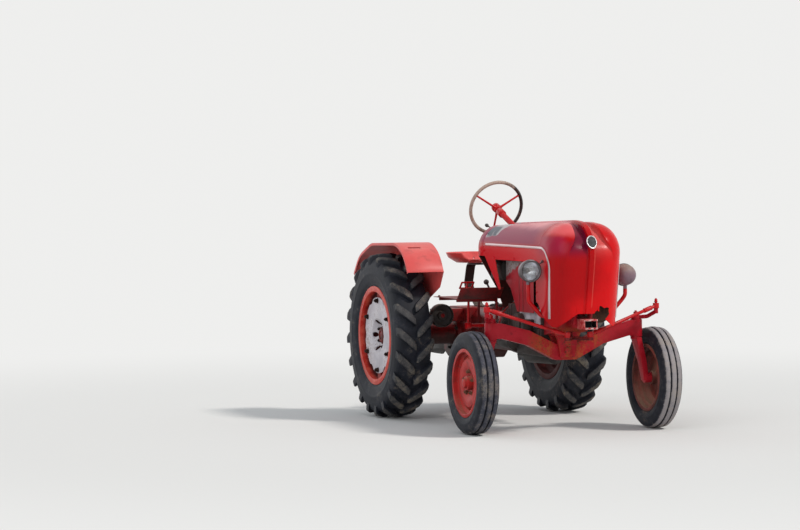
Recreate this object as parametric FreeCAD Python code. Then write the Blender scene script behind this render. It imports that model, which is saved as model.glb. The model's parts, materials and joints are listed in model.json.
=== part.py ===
"""Farm tractor of the 1950s: two-wheel drive, air-cooled engine, one-piece bonnet that tilts forward.

Millimetres. +X is forward, +Y is the driver's left, +Z is up.
Sizes are taken from the rear axle's centre line on the ground, and every piece is moved back by
origin_x as it is written, so that the origin lies under the middle of the whole machine.
"""
import FreeCAD
import Part
import math
import os
from FreeCAD import Vector

# Overall layout
wheelbase = 1580
track = 1260
rear_radius = 560
front_radius = 330
nose_front_x = 2070
bar_rear_x = -640
origin_x = (nose_front_x + bar_rear_x) / 2

# Gaps: a shaft in its bore, two faces that pass each other, and a loose pin
running_gap = 0.05
face_gap = 0.3
pin_gap = 0.3

# Rear wheels
rear_tyre_width = 262
rear_tread_width = 232
lug_height = 32
lug_count = 20
lug_thick = 46
lug_slant = 42
rear_bead_radius = rear_radius - 255
rear_rim_width = 220
rear_flange_radius = rear_bead_radius + 31
rear_rim_skin = 6
rear_well_depth = 30
disc_radius = rear_bead_radius - 47
disc_edge_y = 85
disc_dish = 42
disc_skin = 8
disc_ears = 6
hub_radius = 70

# Front wheels
front_tyre_width = 140
front_bead_radius = front_radius - 127
front_rim_width = 118
front_flange_radius = front_bead_radius + 17
front_rim_skin = 5
front_hub_radius = 46
front_hub_in = 26
front_hub_out = 46
front_dish_in = front_bead_radius - 95
front_dish_out = front_bead_radius - 53
stub_radius = 17.5

# Rear axle, gearbox and tow points
case_front_x = 215
case_rear_x = -236
case_half_width = 150
trumpet_radius = 72
drum_radius = 135
drum_inner_y = 420
drum_outer_y = 468
rear_stub_radius = 30
tunnel_half_width = 115
tunnel_low_z = 480
tunnel_top_z = 745
tunnel_front_x = wheelbase - 675
bell_radius = 178
bell_z = 640
pto_radius = 17.45
pto_z = 505
pto_length = 84
bar_half_width = 310
bar_z = 400
bar_thick = 25
bar_depth = 65
bar_hole_radius = 11
bar_hole_pitch = 100
jaw_x = -515
jaw_z = 590
jaw_height = 86
jaw_plate = 16
jaw_half_width = 60
jaw_hole_radius = 16

# Engine
engine_front_x = wheelbase - 80
engine_half_width = 125
sump_z = 470
deck_z = 800
cylinder_radius = 78
cylinder_pitch = 190
cylinder_first_x = engine_front_x - 390
fin_pitch = 22
fin_count = 9
fin_thick = 8
head_height = 40
head_top_z = deck_z + fin_pitch * fin_count + head_height
guide_y = 172
guide_sheet = 4
guide_top_z = head_top_z + guide_sheet
fan_radius = 105
fan_y = 126
fan_z = 902

# Front axle and steering
kingpin_y = 505
kingpin_radius = 16
boss_radius = 40
boss_top_z = 710
boss_low_z = 600
beam_half_depth = 40
beam_dip = 145
beam_dip_y = 250
pivot_z = 525
pivot_radius = 22
carrier_half_width = 105
carrier_front_x = wheelbase + 145
nose_end_x = wheelbase + 330
clevis_x = nose_end_x + 92
clevis_low_z = 676
clevis_top_z = 740
clevis_hole_radius = 12.5
arm_x = 140
arm_y = 80
arm_z = 802
crank_x = wheelbase + 110
crank_z = 634
eye_radius = 20
eye_height = 34
eye_pin_radius = 9
tie_rod_radius = 11

# Bonnet
hood_rear_x = tunnel_front_x - 125
hood_over = 60
hood_half_width = 245
hood_sheet = 4
hood_low_z = 640
nose_low_x = wheelbase + 370
nose_top = (nose_low_x + 114, 1240)
brow = (nose_low_x - 35, 1340)
crown = (nose_low_x - 170, 1351)
hood_rear_z = 1318
hood_round = 150
spine_half_width = 18
spine_height = 12
hinge_x = nose_end_x + 42
hinge_z = 802
hinge_radius = 8
opening_top_z = 1095
strip_half_width = 7
strip_proud = 4

# Steering wheel and column
wheel_hub = (hood_rear_x - 384, 0, 1425)
column_tilt = 20
rim_radius = 182
rim_thick = 12
column_radius = 19
shaft_radius = 11
shaft_length = 240

# Headlamps
lamp_x = wheelbase + 230
lamp_y = 334
lamp_z = 1046
left_lamp_drop = 38
lamp_radius = 72
lamp_length = 116
lamp_tube = 13

# Mudguards, footplates, seat and cowl
guard_room = [(-1, -15, -155), (-1, -130, -25), (-1, -390, 65), (1, -230, 77), (1, -70, 10), (1, 12, -115)]
guard_line = [(end * (rear_radius + along), 2 * rear_radius + over) for end, along, over in guard_room]
guard_bend = 300
guard_sheet = 3
guard_inner_y = 445
guard_outer_y = 700
step_z = 830
step_outer_y = 420
pedal_x = tunnel_front_x - 365
step_rear_x = pedal_x - 240
step_front_x = pedal_x + 210
pedal_y = 270
seat_x = 30
seat_z = 1040
seat_radius = 215
cowl_rear_x = hood_rear_x - 90

wheel_y = track / 2


def V(x, y, z):
    return Vector(x, y, z)


def box(x0, x1, y0, y1, z0, z1):
    """A box between two values on each axis."""
    return Part.makeBox(x1 - x0, y1 - y0, z1 - z0, V(x0, y0, z0))


def rod(p, q, radius):
    """A round bar from point p to point q."""
    p, q = Vector(*p), Vector(*q)
    return Part.makeCylinder(radius, (q - p).Length, p, q - p)


def fuse(shapes):
    """One solid out of several that meet."""
    return shapes[0].fuse(shapes[1:]).removeSplitter()


def round_face(points, radius):
    """A flat face through the points, its corners rounded to one radius or to a list of radii."""
    radii = radius if isinstance(radius, list) else [radius] * len(points)
    ends = []
    arcs = []
    for i, corner in enumerate(points):
        u = (points[i - 1] - corner).normalize()
        v = (points[(i + 1) % len(points)] - corner).normalize()
        if radii[i] == 0:
            ends.append((corner, corner))
            continue
        half = u.getAngle(v) / 2
        reach = radii[i] / math.tan(half)
        start, end = corner + u * reach, corner + v * reach
        inward = Vector(u + v).normalize()
        middle = corner + inward * (radii[i] / math.sin(half) - radii[i])
        ends.append((start, end))
        arcs.append(Part.Arc(start, middle, end).toShape())
    lines = []
    for i, (start, end) in enumerate(ends):
        before = ends[i - 1][1]
        if (start - before).Length > 1e-6:
            lines.append(Part.LineSegment(before, start).toShape())
    return Part.Face(Part.Wire(Part.__sortEdges__(lines + arcs)))


def plate(axis, start, end, points, radius=0):
    """A prism along an axis from a flat outline: (y, z) on X, (x, z) on Y and (x, y) on Z."""
    place = {"x": lambda a, b: V(start, a, b), "y": lambda a, b: V(a, start, b),
             "z": lambda a, b: V(a, b, start)}
    along = {"x": V(end - start, 0, 0), "y": V(0, end - start, 0), "z": V(0, 0, end - start)}
    face = round_face([place[axis](a, b) for a, b in points], radius)
    return face.extrude(along[axis])


def spun(points, centre, axis):
    """A turned piece from (radius, along) points, about an axis through centre."""
    centre, axis = Vector(*centre), Vector(*axis).normalize()
    side = V(0, 0, 1) if abs(axis.z) < 0.5 else V(1, 0, 0)
    side = (side - axis * side.dot(axis)).normalize()
    corners = [centre + side * r + axis * a for r, a in points]
    return Part.Face(Part.makePolygon(corners + corners[:1])).revolve(centre, axis, 360)


def pipe(points, radius, bend):
    """A round bar or tube through points, its corners bent to one radius."""
    points = [Vector(*p) for p in points]
    edges = []
    at = points[0]
    for before, corner, after in zip(points, points[1:], points[2:]):
        u, v = (before - corner).normalize(), (after - corner).normalize()
        half = u.getAngle(v) / 2
        start, end = corner + u * (bend / math.tan(half)), corner + v * (bend / math.tan(half))
        middle = corner + Vector(u + v).normalize() * (bend / math.sin(half) - bend)
        edges.append(Part.LineSegment(at, start).toShape())
        edges.append(Part.Arc(start, middle, end).toShape())
        at = end
    edges.append(Part.LineSegment(at, points[-1]).toShape())
    ring = Part.Wire([Part.makeCircle(radius, points[0], points[1] - points[0])])
    return Part.Wire(edges).makePipeShell([ring], True, False)


def bent_sheet(points, thick, y0, y1, bend=0):
    """A sheet or flat bar that runs along (x, z) points, its thickness on the right of the way."""
    offset = []
    for i, (x, z) in enumerate(points):
        normals = []
        for a, b in ((i - 1, i), (i, i + 1)):
            if 0 <= a and b < len(points):
                dx, dz = points[b][0] - points[a][0], points[b][1] - points[a][1]
                length = math.hypot(dx, dz)
                normals.append((dz / length, -dx / length))
        nx = sum(n[0] for n in normals) / len(normals)
        nz = sum(n[1] for n in normals) / len(normals)
        scale = thick / (nx * nx + nz * nz)
        offset.append((x + nx * scale, z + nz * scale))
    ends = [0] + [1] * (len(points) - 2) + [0]
    outer = [bend * e for e in ends]
    inner = [max(bend - thick, 0) * e for e in ends]
    return plate("y", y0, y1, points + offset[::-1], outer + inner[::-1])


def mirrored(shape):
    """The same piece on the tractor's other side."""
    return shape.mirror(V(0, 0, 0), V(0, 1, 0))


nodes = {}


def add_pair(name, left_shape):
    """A piece on the left and its mirror image on the right."""
    nodes[name + "_left"] = left_shape
    nodes[name + "_right"] = mirrored(left_shape)


# Rear wheels, made on the left and mirrored

rear_centre = (0, wheel_y, rear_radius)
carcass_radius = rear_radius - lug_height


def rear_lug(side, turn):
    """One slanted lug from the tread's middle to its shoulder, made at the top and turned to its place."""
    tread = rear_tread_width / 2
    lead = (tread + 4) * math.tan(math.radians(lug_slant)) / 2
    thick = lug_thick / math.cos(math.radians(lug_slant)) / 2
    rings = []
    for x, y, low, high in ((lead, 3, carcass_radius - 12, rear_radius),
                            (-lead, tread + 6, carcass_radius - 50, rear_radius - 18)):
        corners = [(x + thick * 1.2, low), (x - thick * 1.2, low), (x - thick * 0.8, high),
                   (x + thick * 0.8, high)]
        ring = [V(a, side * y, math.sqrt(r * r - a * a)) for a, r in corners]
        rings.append(Part.makePolygon(ring + ring[:1]))
    lug = Part.makeLoft(rings, True, True)
    lug.translate(V(*rear_centre))
    lug.rotate(V(*rear_centre), V(0, 1, 0), turn)
    return lug


def rear_tyre():
    """A carcass with two rows of lugs that meet in an open chevron, point forward at the top."""
    half, tread = rear_tyre_width / 2, rear_tread_width / 2
    bead = rear_rim_width / 2 - rear_rim_skin - face_gap
    profile = [(rear_bead_radius, bead), (rear_flange_radius + 2, bead), (rear_bead_radius + 125, half),
               (carcass_radius - 24, tread), (carcass_radius, tread - 30)]
    carcass = spun(profile + [(r, -a) for r, a in reversed(profile)], rear_centre, (0, 1, 0))
    pitch = 360 / lug_count
    lugs = [rear_lug(side, pitch * (i + shift)) for side, shift in ((-1, 0), (1, 0.5))
            for i in range(lug_count)]
    return carcass.fuse(lugs)


def rim_profile(seat, flange, half, skin, well):
    """Half of a drop-centre rim's section is mirrored to give the whole: outside first, then inside."""
    outside = [(flange, half), (flange, half - skin), (seat, half - skin), (seat, half * 0.45),
               (seat - well, half * 0.25)]
    inside = [(seat - skin, half), (seat - skin, half * 0.45 + 2), (seat - well - skin, half * 0.25 + 2)]
    return (outside + [(r, -a) for r, a in reversed(outside)]
            + [(r, -a) for r, a in inside] + list(reversed(inside)))


def rear_rim():
    """The rim with six lugs welded in its well, which the disc's ears are bolted to."""
    seat = rear_bead_radius - face_gap
    rim = spun(rim_profile(seat, rear_flange_radius, rear_rim_width / 2, rear_rim_skin, rear_well_depth),
               rear_centre, (0, 1, 0))
    lugs = []
    y = wheel_y + disc_edge_y - disc_skin
    for i in range(disc_ears):
        lug = box(-30, 30, y - 12, y, rear_radius + disc_radius - 36, rear_radius + seat - rear_rim_skin + 1)
        lug.rotate(V(*rear_centre), V(0, 1, 0), 360 / disc_ears * i)
        lugs.append(lug)
    return fuse([rim] + lugs)


def rear_disc():
    """The dished disc: six ears with scallops between them, six bolt holes and six round windows."""
    edge, deep = disc_edge_y, disc_edge_y - disc_dish
    disc = spun([(hub_radius, deep - disc_skin), (hub_radius + 14, deep - disc_skin),
                 (hub_radius + 48, edge - disc_skin),
                 (disc_radius, edge - disc_skin), (disc_radius, edge), (hub_radius + 46, edge),
                 (hub_radius + 12, deep), (hub_radius, deep)], rear_centre, (0, 1, 0))
    cuts = []
    for i in range(disc_ears):
        for turn, distance, radius in ((0, disc_radius - 22, 10), (30, hub_radius + 33, 17),
                                       (30, disc_radius + 52, 66)):
            angle = math.radians(turn + 360 / disc_ears * i)
            x, z = distance * math.sin(angle), rear_radius + distance * math.cos(angle)
            cuts.append(rod((x, wheel_y, z), (x, wheel_y + edge + 10, z), radius))
    return disc.cut(cuts)


def rear_hub():
    """The wheel hub on the half shaft, with its flange behind the disc."""
    deep = disc_edge_y - disc_dish
    start = drum_outer_y + face_gap - wheel_y
    hub = spun([(rear_stub_radius + running_gap, start), (hub_radius + 10, start),
                (hub_radius + 10, deep - disc_skin),
                (hub_radius - face_gap, deep - disc_skin), (hub_radius - face_gap, deep),
                (44, deep + 22), (rear_stub_radius + running_gap, deep + 22)], rear_centre, (0, 1, 0))
    return hub


add_pair("rear_tyre", rear_tyre())
add_pair("rear_rim", rear_rim())
add_pair("rear_disc", rear_disc())
add_pair("rear_hub", rear_hub())

# Front wheels

front_centre = (wheelbase, wheel_y, front_radius)


def front_tyre():
    """A ribbed tyre with three ribs round it."""
    half = front_tyre_width / 2
    bead = front_rim_width / 2 - front_rim_skin - face_gap
    profile = [(front_bead_radius, bead), (front_flange_radius + 1, bead), (front_bead_radius + 58, half),
               (front_radius - 24, half * 0.92),
               (front_radius - 6, half * 0.66), (front_radius - 3, half * 0.36),
               (front_radius - 12, half * 0.25),
               (front_radius, half * 0.15)]
    return spun(profile + [(r, -a) for r, a in reversed(profile)], front_centre, (0, 1, 0))


def front_rim():
    """Rim, dished disc, hub and cap in one, as a pressed wheel on its hub is."""
    seat = front_bead_radius - face_gap
    well = 20
    rim = spun(rim_profile(seat, front_flange_radius, front_rim_width / 2, front_rim_skin, well),
               front_centre, (0, 1, 0))
    reach = seat - well - front_rim_skin + 2
    bore = stub_radius + running_gap
    disc = spun([(bore, -front_hub_in), (front_hub_radius, -front_hub_in), (front_hub_radius, 2),
                 (front_dish_in, 28), (front_dish_out, 28), (reach, 4), (reach, 10),
                 (front_dish_out + 2, 34), (front_dish_in - 2, 34), (front_hub_radius, 8),
                 (front_hub_radius, front_hub_out), (bore, front_hub_out)], front_centre, (0, 1, 0))
    cap = spun([(0, front_hub_out), (34, front_hub_out), (30, front_hub_out + 18), (0, front_hub_out + 22)],
               front_centre, (0, 1, 0))
    return fuse([rim, disc, cap])


add_pair("front_tyre", front_tyre())
add_pair("front_rim", front_rim())

# Rear axle, gearbox and tow points


def rear_axle_case():
    """The cast case, its two trumpets and brake drums, the stub shafts and the splined power take-off."""
    case = plate("y", -case_half_width, case_half_width,
                 [(case_rear_x, 440), (-150, 395), (150, 395), (case_front_x, 440),
                  (case_front_x, 745), (-120, 745), (case_rear_x, 690)], [20, 60, 60, 20, 0, 60, 20])
    parts = [case]
    for s in (-1, 1):
        parts.append(rod((0, s * (case_half_width - 5), rear_radius), (0, s * drum_inner_y, rear_radius),
                         trumpet_radius))
        parts.append(rod((0, s * (case_half_width - 2), rear_radius),
                         (0, s * (case_half_width + 26), rear_radius), 118))
        parts.append(rod((0, s * drum_inner_y, rear_radius), (0, s * drum_outer_y, rear_radius), drum_radius))
        parts.append(rod((0, s * drum_outer_y, rear_radius),
                         (0, s * (wheel_y + disc_edge_y - disc_dish + 18), rear_radius), rear_stub_radius))
    parts.append(rod((case_rear_x + 5, 0, pto_z), (case_rear_x - 10, 0, pto_z), 44))
    parts.append(rod((case_rear_x, 0, pto_z), (case_rear_x - pto_length, 0, pto_z), pto_radius))
    return fuse(parts)


def gearbox_tunnel():
    """The long gearbox housing that is also the tractor's backbone, with its bell at the front."""
    half = tunnel_half_width
    body = plate("x", case_front_x, tunnel_front_x,
                 [(-half, tunnel_low_z + 40), (-half + 45, tunnel_low_z), (half - 45, tunnel_low_z),
                  (half, tunnel_low_z + 40), (half, tunnel_top_z - 55), (half - 50, tunnel_top_z),
                  (-half + 50, tunnel_top_z), (-half, tunnel_top_z - 55)], 18)
    bell = Part.makeCone(half, bell_radius, 150, V(tunnel_front_x - 184, 0, bell_z), V(1, 0, 0))
    flange = rod((tunnel_front_x - 34, 0, bell_z), (tunnel_front_x, 0, bell_z), bell_radius)
    cover = box(tunnel_front_x - 475, tunnel_front_x - 265, -70, 70, tunnel_top_z - 4, tunnel_top_z + 18)
    return fuse([body, bell, flange, cover])


def hitch_frame():
    """Two side plates behind the axle case with the drilled drawbar across their ends."""
    rear = bar_rear_x + bar_depth
    side = plate("y", 118, 134, [(case_rear_x, 445), (case_rear_x, 560), (case_rear_x - 60, 560),
                                 (rear, bar_z + 60), (rear, bar_z), (case_rear_x - 90, bar_z)], 0)
    bar = box(bar_rear_x, rear, -bar_half_width, bar_half_width, bar_z, bar_z + bar_thick)
    gusset = box(rear - 4, rear + 16, 100, 134, bar_z, bar_z + 60)
    frame = fuse([bar, side, mirrored(side), gusset, mirrored(gusset)])
    holes = []
    for i in range(-2, 3):
        x = bar_rear_x + 30
        holes.append(rod((x, bar_hole_pitch * i, bar_z - 5), (x, bar_hole_pitch * i, bar_z + 40),
                         bar_hole_radius))
    return frame.cut(holes)


def tow_jaw():
    """The forked jaw for a drawbar eye, on its bracket behind the case."""
    top = jaw_z + jaw_height
    jaw_rear = jaw_x - 42
    leaf = [(jaw_rear, -30), (jaw_rear, 30), (jaw_rear + 30, jaw_half_width), (-405, jaw_half_width),
            (-405, -jaw_half_width), (jaw_rear + 30, -jaw_half_width)]
    low = plate("z", jaw_z, jaw_z + jaw_plate, leaf)
    high = plate("z", top - jaw_plate, top, leaf)
    block = box(-440, -395, -jaw_half_width, jaw_half_width, jaw_z, top)
    neck = box(-400, case_rear_x - 12, -38, 38, jaw_z + 8, top - 8)
    foot = box(case_rear_x - 16, case_rear_x, -85, 85, jaw_z - 20, top + 8)
    hole = rod((jaw_x, 0, jaw_z - 5), (jaw_x, 0, top + 5), jaw_hole_radius)
    return fuse([low, high, block, neck, foot]).cut(hole)


nodes["rear_axle_case"] = rear_axle_case()
nodes["gearbox_tunnel"] = gearbox_tunnel()
nodes["hitch_frame"] = hitch_frame()
nodes["tow_jaw"] = tow_jaw()

# Engine


def crankcase():
    """The block with its sump, its bell flange, the injection pump's housing and the front cover."""
    flange = rod((tunnel_front_x, 0, bell_z), (tunnel_front_x + 30, 0, bell_z), bell_radius)
    half = engine_half_width
    block = box(tunnel_front_x + 20, engine_front_x, -half, half, 560, deck_z)
    sump = plate("x", tunnel_front_x + 60, engine_front_x - 40,
                 [(-100, 565), (-78, sump_z), (78, sump_z), (100, 565)], [0, 20, 20, 0])
    pump_x = engine_front_x - 310
    pump = rod((pump_x, -half - 52, 690), (pump_x, -half + 4, 690), 58)
    parts = [flange, block, sump, pump]
    for s in (-1, 1):
        for i in range(2):
            x = tunnel_front_x + 235 + 150 * i + (130 if s < 0 else 0)
            parts.append(box(x - 58, x + 58, min(s * half, s * (half + 9)), max(s * half, s * (half + 9)),
                             585, 655))
        for i in range(4):
            x = tunnel_front_x + 80 + 100 * i
            parts.append(box(x, x + 9, -half - 8 if s < 0 else half, -half if s < 0 else half + 8, 700,
                             deck_z))
    return fuse(parts)


def cylinders():
    """Two upright barrels with cooling fins, each with its finned head."""
    top = deck_z + fin_pitch * fin_count
    parts = []
    for i in range(2):
        x = cylinder_first_x + cylinder_pitch * i
        profile = [(0, deck_z)]
        for n in range(fin_count):
            z = deck_z + fin_pitch * n
            core = cylinder_radius - 22
            profile += [(core, z), (core, z + fin_pitch - fin_thick),
                        (cylinder_radius, z + fin_pitch - fin_thick),
                        (cylinder_radius, z + fin_pitch)]
        profile.append((0, top))
        parts.append(spun(profile, (x, 0, 0), (0, 0, 1)))
        parts.append(box(x - 82, x + 82, -84, 84, top, top + head_height))
    parts.append(box(cylinder_first_x + 80, cylinder_first_x + cylinder_pitch - 80, -40, 40, top, top + 20))
    return fuse(parts)


def air_guide():
    """Sheet metal that leads the fan's air round the cylinders: two sides, a roof with a front turn-down."""
    front = engine_front_x - 10
    rear = front - 480
    face_top = opening_top_z - 8
    face = plate("y", -guide_y, -guide_y + guide_sheet,
                 [(rear, face_top), (rear, 950), (rear + 80, 905), (rear + 190, 760), (front, 760),
                  (front, face_top)], 0)
    seams = [box(x, x + 7, -guide_y - 1, -guide_y + 2, 700, face_top + 1) for x in (rear + 225, rear + 290)]
    face = face.cut(seams)
    left = plate("y", guide_y - guide_sheet, guide_y,
                 [(rear, guide_top_z), (rear, 810), (front, 810), (front, guide_top_z)], 0)
    roof_right = box(rear, front, -guide_y, -70, head_top_z, guide_top_z)
    roof_left = box(rear, front, 70, guide_y, head_top_z, guide_top_z)
    back = box(rear, rear + guide_sheet, -guide_y, guide_y, 950, guide_top_z)
    return fuse([face, left, roof_right, roof_left, back])


def fan_housing():
    """The round fan casing on the left of the steering column, on its bracket in front of the block."""
    x = engine_front_x + 30
    ring = spun([(0, 0), (fan_radius, 0), (fan_radius, 96), (fan_radius - 14, 110), (fan_radius - 34, 110),
                 (fan_radius - 34, 20), (40, 20), (34, 90), (0, 90)], (x, fan_y, fan_z), (1, 0, 0))
    bracket = box(engine_front_x, x + 4, 106, 200, 700, 870)
    return fuse([ring, bracket])


def exhaust_pipe():
    """From the left port down beside the block and back to a silencer under the footplate."""
    y = guide_y + face_gap
    port_x = engine_front_x - 295
    front = tunnel_front_x + 35
    tube = pipe([(port_x, y, 900), (port_x, y + 55, 900), (port_x, y + 55, 470),
                 (front - 10, y + 30, 440)], 22, 50)
    silencer = rod((front, y + 31, 441), (front - 420, y + 20, 430), 52)
    tail = rod((front - 410, y + 20, 430), (front - 610, y + 20, 425), 20)
    return fuse([tube, silencer, tail])


def starter():
    """The starter motor low on the right, its nose on the bell's flange, with its switch on top."""
    x, y, z = tunnel_front_x + 30, -engine_half_width - 52, 560
    return fuse([rod((x, y, z), (x + 60, y, z), 36), rod((x + 55, y, z), (x + 205, y, z), 46),
                 rod((x + 200, y, z), (x + 212, y, z), 26),
                 rod((x + 70, y - 12, z + 60), (x + 160, y - 12, z + 60), 21)])


def oil_filter():
    """The oil filter's bowl on the block's right, under its bracket."""
    x, y = engine_front_x - 120, -engine_half_width - 50
    return fuse([rod((x, y, 585), (x, y, 705), 38), rod((x, y, 700), (x, y, 716), 44),
                 rod((x, y, 570), (x, y, 588), 12),
                 box(x - 26, x + 26, y, -engine_half_width, 690, 712)])


def dynamo():
    """The dynamo on the block's left with its belt pulley in front."""
    x, y, z = engine_front_x - 210, engine_half_width + 60, 690
    pulley = spun([(0, 172), (34, 172), (26, 180), (34, 188), (0, 188)], (x, y, z), (1, 0, 0))
    return fuse([rod((x, y, z), (x + 150, y, z), 46), rod((x + 145, y, z), (x + 175, y, z), 12), pulley,
                 box(x + 40, x + 100, engine_half_width, y, z - 30, z + 30)])


nodes["crankcase"] = crankcase()
nodes["cylinders"] = cylinders()
nodes["air_guide"] = air_guide()
nodes["fan_housing"] = fan_housing()
nodes["exhaust_pipe"] = exhaust_pipe()
nodes["starter"] = starter()
nodes["oil_filter"] = oil_filter()
nodes["dynamo"] = dynamo()

# Front carrier, axle and tow clevis


def front_carrier():
    """The cast nose piece: a trough in front of the block that narrows to the axle's pivot."""
    trough = plate("y", -carrier_half_width, carrier_half_width,
                   [(engine_front_x, 620), (carrier_front_x, 650), (carrier_front_x, 768),
                    (engine_front_x, 790)])
    nose = plate("y", -46, 46, [(carrier_front_x - 10, clevis_low_z), (nose_end_x, clevis_low_z + 6),
                                (nose_end_x, clevis_top_z - 4), (carrier_front_x - 10, 766)])
    rings = []
    for z, back, ahead, y in ((665, 75, 70, 104), (590, 68, 66, 66), (480, 60, 62, 50)):
        x0, x1 = wheelbase - back, wheelbase + ahead
        ring = [V(x0, -y, z), V(x1, -y, z), V(x1, y, z), V(x0, y, z)]
        rings.append(Part.makePolygon(ring + ring[:1]))
    funnel = Part.makeLoft(rings, True, True)
    beam_room = box(wheelbase - beam_half_depth - face_gap, wheelbase + beam_half_depth + face_gap,
                    -300, 300, 400, 617)
    tower = box(crank_x - 50, carrier_front_x, -58, 58, 760, 870)
    lugs = [plate("y", y, y + 14, [(nose_end_x - 60, 700), (nose_end_x - 30, 700),
                                   (hinge_x - 24, hinge_z - 17),
                                   (hinge_x + 14, hinge_z - 14), (hinge_x + 14, hinge_z + 14),
                                   (hinge_x - 14, hinge_z + 14), (nose_end_x - 60, 750)], 0)
                                   for y in (-60, 46)]
    pin = rod((hinge_x, -80, hinge_z), (hinge_x, 80, hinge_z), hinge_radius)
    body = fuse([trough, nose, funnel.cut(beam_room), tower, pin] + lugs)
    crank_bore = rod((crank_x, 0, 600), (crank_x, 0, 806), kingpin_radius + running_gap)
    pivot_bore = rod((wheelbase - 120, 0, pivot_z), (wheelbase + 120, 0, pivot_z), pivot_radius + running_gap)
    return body.cut([crank_bore, pivot_bore])


def front_axle():
    """The dropped beam on its pivot pin, with a boss for the kingpin at each end."""
    depth, x0, x1 = 95, wheelbase - beam_half_depth, wheelbase + beam_half_depth
    top, low = boss_top_z - 4, boss_low_z + 8
    middle = 60
    half = [(middle, top - beam_dip), (beam_dip_y, top - beam_dip * 0.35), (440, top), (kingpin_y, top),
            (kingpin_y, low), (440, low), (beam_dip_y + 10, low - beam_dip * 0.35 + 4),
            (middle + 10, low - beam_dip)]
    points = half + [(-y, z) for y, z in reversed(half)]
    beam = plate("x", x0, x1, points, 0)
    parts = [beam]
    for s in (-1, 1):
        parts.append(rod((wheelbase, s * kingpin_y, boss_low_z), (wheelbase, s * kingpin_y, boss_top_z),
                         boss_radius))
    parts.append(rod((x0 - 32, 0, pivot_z), (x1 + 32, 0, pivot_z), pivot_radius))
    holes = [rod((wheelbase, s * kingpin_y, boss_low_z - 5), (wheelbase, s * kingpin_y, boss_top_z + 5),
                 kingpin_radius + running_gap) for s in (-1, 1)]
    return fuse(parts).cut(holes)


def tow_clevis():
    """The square front pocket for a tow bar, open to the front and drilled for a pin from below."""
    leaves = [plate("z", z, z + 11, [(nose_end_x, -46), (clevis_x + 28, -46), (clevis_x + 34, -34),
                                   (clevis_x + 34, 34), (clevis_x + 28, 46), (nose_end_x, 46)])
              for z in (clevis_low_z, clevis_top_z - 11)]
    back = box(nose_end_x, nose_end_x + 38, -46, 46, clevis_low_z, clevis_top_z)
    sides = [box(nose_end_x, clevis_x + 22, y, y + 8, clevis_low_z, clevis_top_z) for y in (-46, 38)]
    hole = rod((clevis_x, 0, clevis_low_z - 5), (clevis_x, 0, clevis_top_z + 5), clevis_hole_radius)
    return fuse(leaves + [back] + sides).cut(hole)


nodes["front_carrier"] = front_carrier()
nodes["front_axle"] = front_axle()
nodes["tow_clevis"] = tow_clevis()

# Steering: knuckles, tie rods, crank and wheel


def knuckle():
    """Kingpin, tapered leg, stub axle and the steering arm on top, in one forging."""
    pin = rod((wheelbase, kingpin_y, boss_low_z - 10), (wheelbase, kingpin_y, boss_top_z + 24),
              kingpin_radius)
    collar = rod((wheelbase, kingpin_y, boss_low_z - 16), (wheelbase, kingpin_y, boss_low_z - face_gap), 36)
    rings = []
    for z, x, y0, y1 in ((boss_low_z - 8, 48, 488, 524), (430, 34, 530, 566), (310, 26, 552, 584)):
        ring = [V(wheelbase - x, y0, z), V(wheelbase + x, y0, z), V(wheelbase + x, y1, z),
                V(wheelbase - x, y1, z)]
        rings.append(Part.makePolygon(ring + ring[:1]))
    leg = Part.makeLoft(rings, True, True)
    stub_end = wheel_y + front_hub_out - 1
    stub = rod((wheelbase, 560, front_radius), (wheelbase, stub_end, front_radius), stub_radius)
    shoulder = rod((wheelbase, 560, front_radius),
                   (wheelbase, wheel_y - front_hub_in - face_gap, front_radius), 34)
    cap = rod((wheelbase, kingpin_y, boss_top_z + face_gap), (wheelbase, kingpin_y, boss_top_z + 24), 32)
    ball = (wheelbase + arm_x, kingpin_y + arm_y)
    arm = pipe([(wheelbase, kingpin_y, boss_top_z + 13), (wheelbase + 62, kingpin_y + 52, boss_top_z + 20),
                (ball[0], ball[1], arm_z - 36)], 13, 40)
    seat = rod((*ball, arm_z - 50), (*ball, arm_z - eye_height / 2 - face_gap), 14)
    eye_pin = rod((*ball, arm_z - 30), (*ball, arm_z + eye_height / 2 + 8), eye_pin_radius)
    return fuse([leg, collar, pin, stub, shoulder, cap, arm, seat, eye_pin])


def tie_rod():
    """The bar between the crank and the knuckle's arm, with an eye at each end."""
    inner = (crank_x + arm_x, arm_y, crank_z)
    outer = (wheelbase + arm_x, kingpin_y + arm_y, arm_z)
    parts = [rod(inner, outer, tie_rod_radius)]
    for x, y, z in (inner, outer):
        parts.append(rod((x, y, z - eye_height / 2), (x, y, z + eye_height / 2), eye_radius))
    way = (Vector(*outer) - Vector(*inner)).normalize()
    for end, s in ((inner, 1), (outer, -1)):
        start = Vector(*end) + way * s * 40
        stop = Vector(*end) + way * s * 100
        parts.append(rod(tuple(start), tuple(stop), tie_rod_radius + 4))
    holes = [rod((x, y, z - 30), (x, y, z + 30), eye_pin_radius + pin_gap) for x, y, z in (inner, outer)]
    return fuse(parts).cut(holes)


def steering_crank():
    """The upright shaft under the steering box, with a prong for each tie rod."""
    low = crank_z - eye_height / 2 - face_gap
    shaft = rod((crank_x, 0, low - 20), (crank_x, 0, 800), kingpin_radius)
    hub = rod((crank_x, 0, low - 20), (crank_x, 0, low), 32)
    parts = [shaft, hub]
    for s in (-1, 1):
        tip = (crank_x + arm_x, s * arm_y)
        prong = plate("z", low - 20, low,
                      [(crank_x - 6, s * 28), (crank_x + 6, -s * 22), (tip[0] + 8, tip[1] - s * 16),
                                           (tip[0] - 8, tip[1] + s * 16)], 0)
        parts += [prong, rod((*tip, low - 20), (*tip, low), 18),
                  rod((*tip, low - 20), (*tip, low + eye_height + 7), eye_pin_radius)]
    return fuse(parts)


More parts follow.
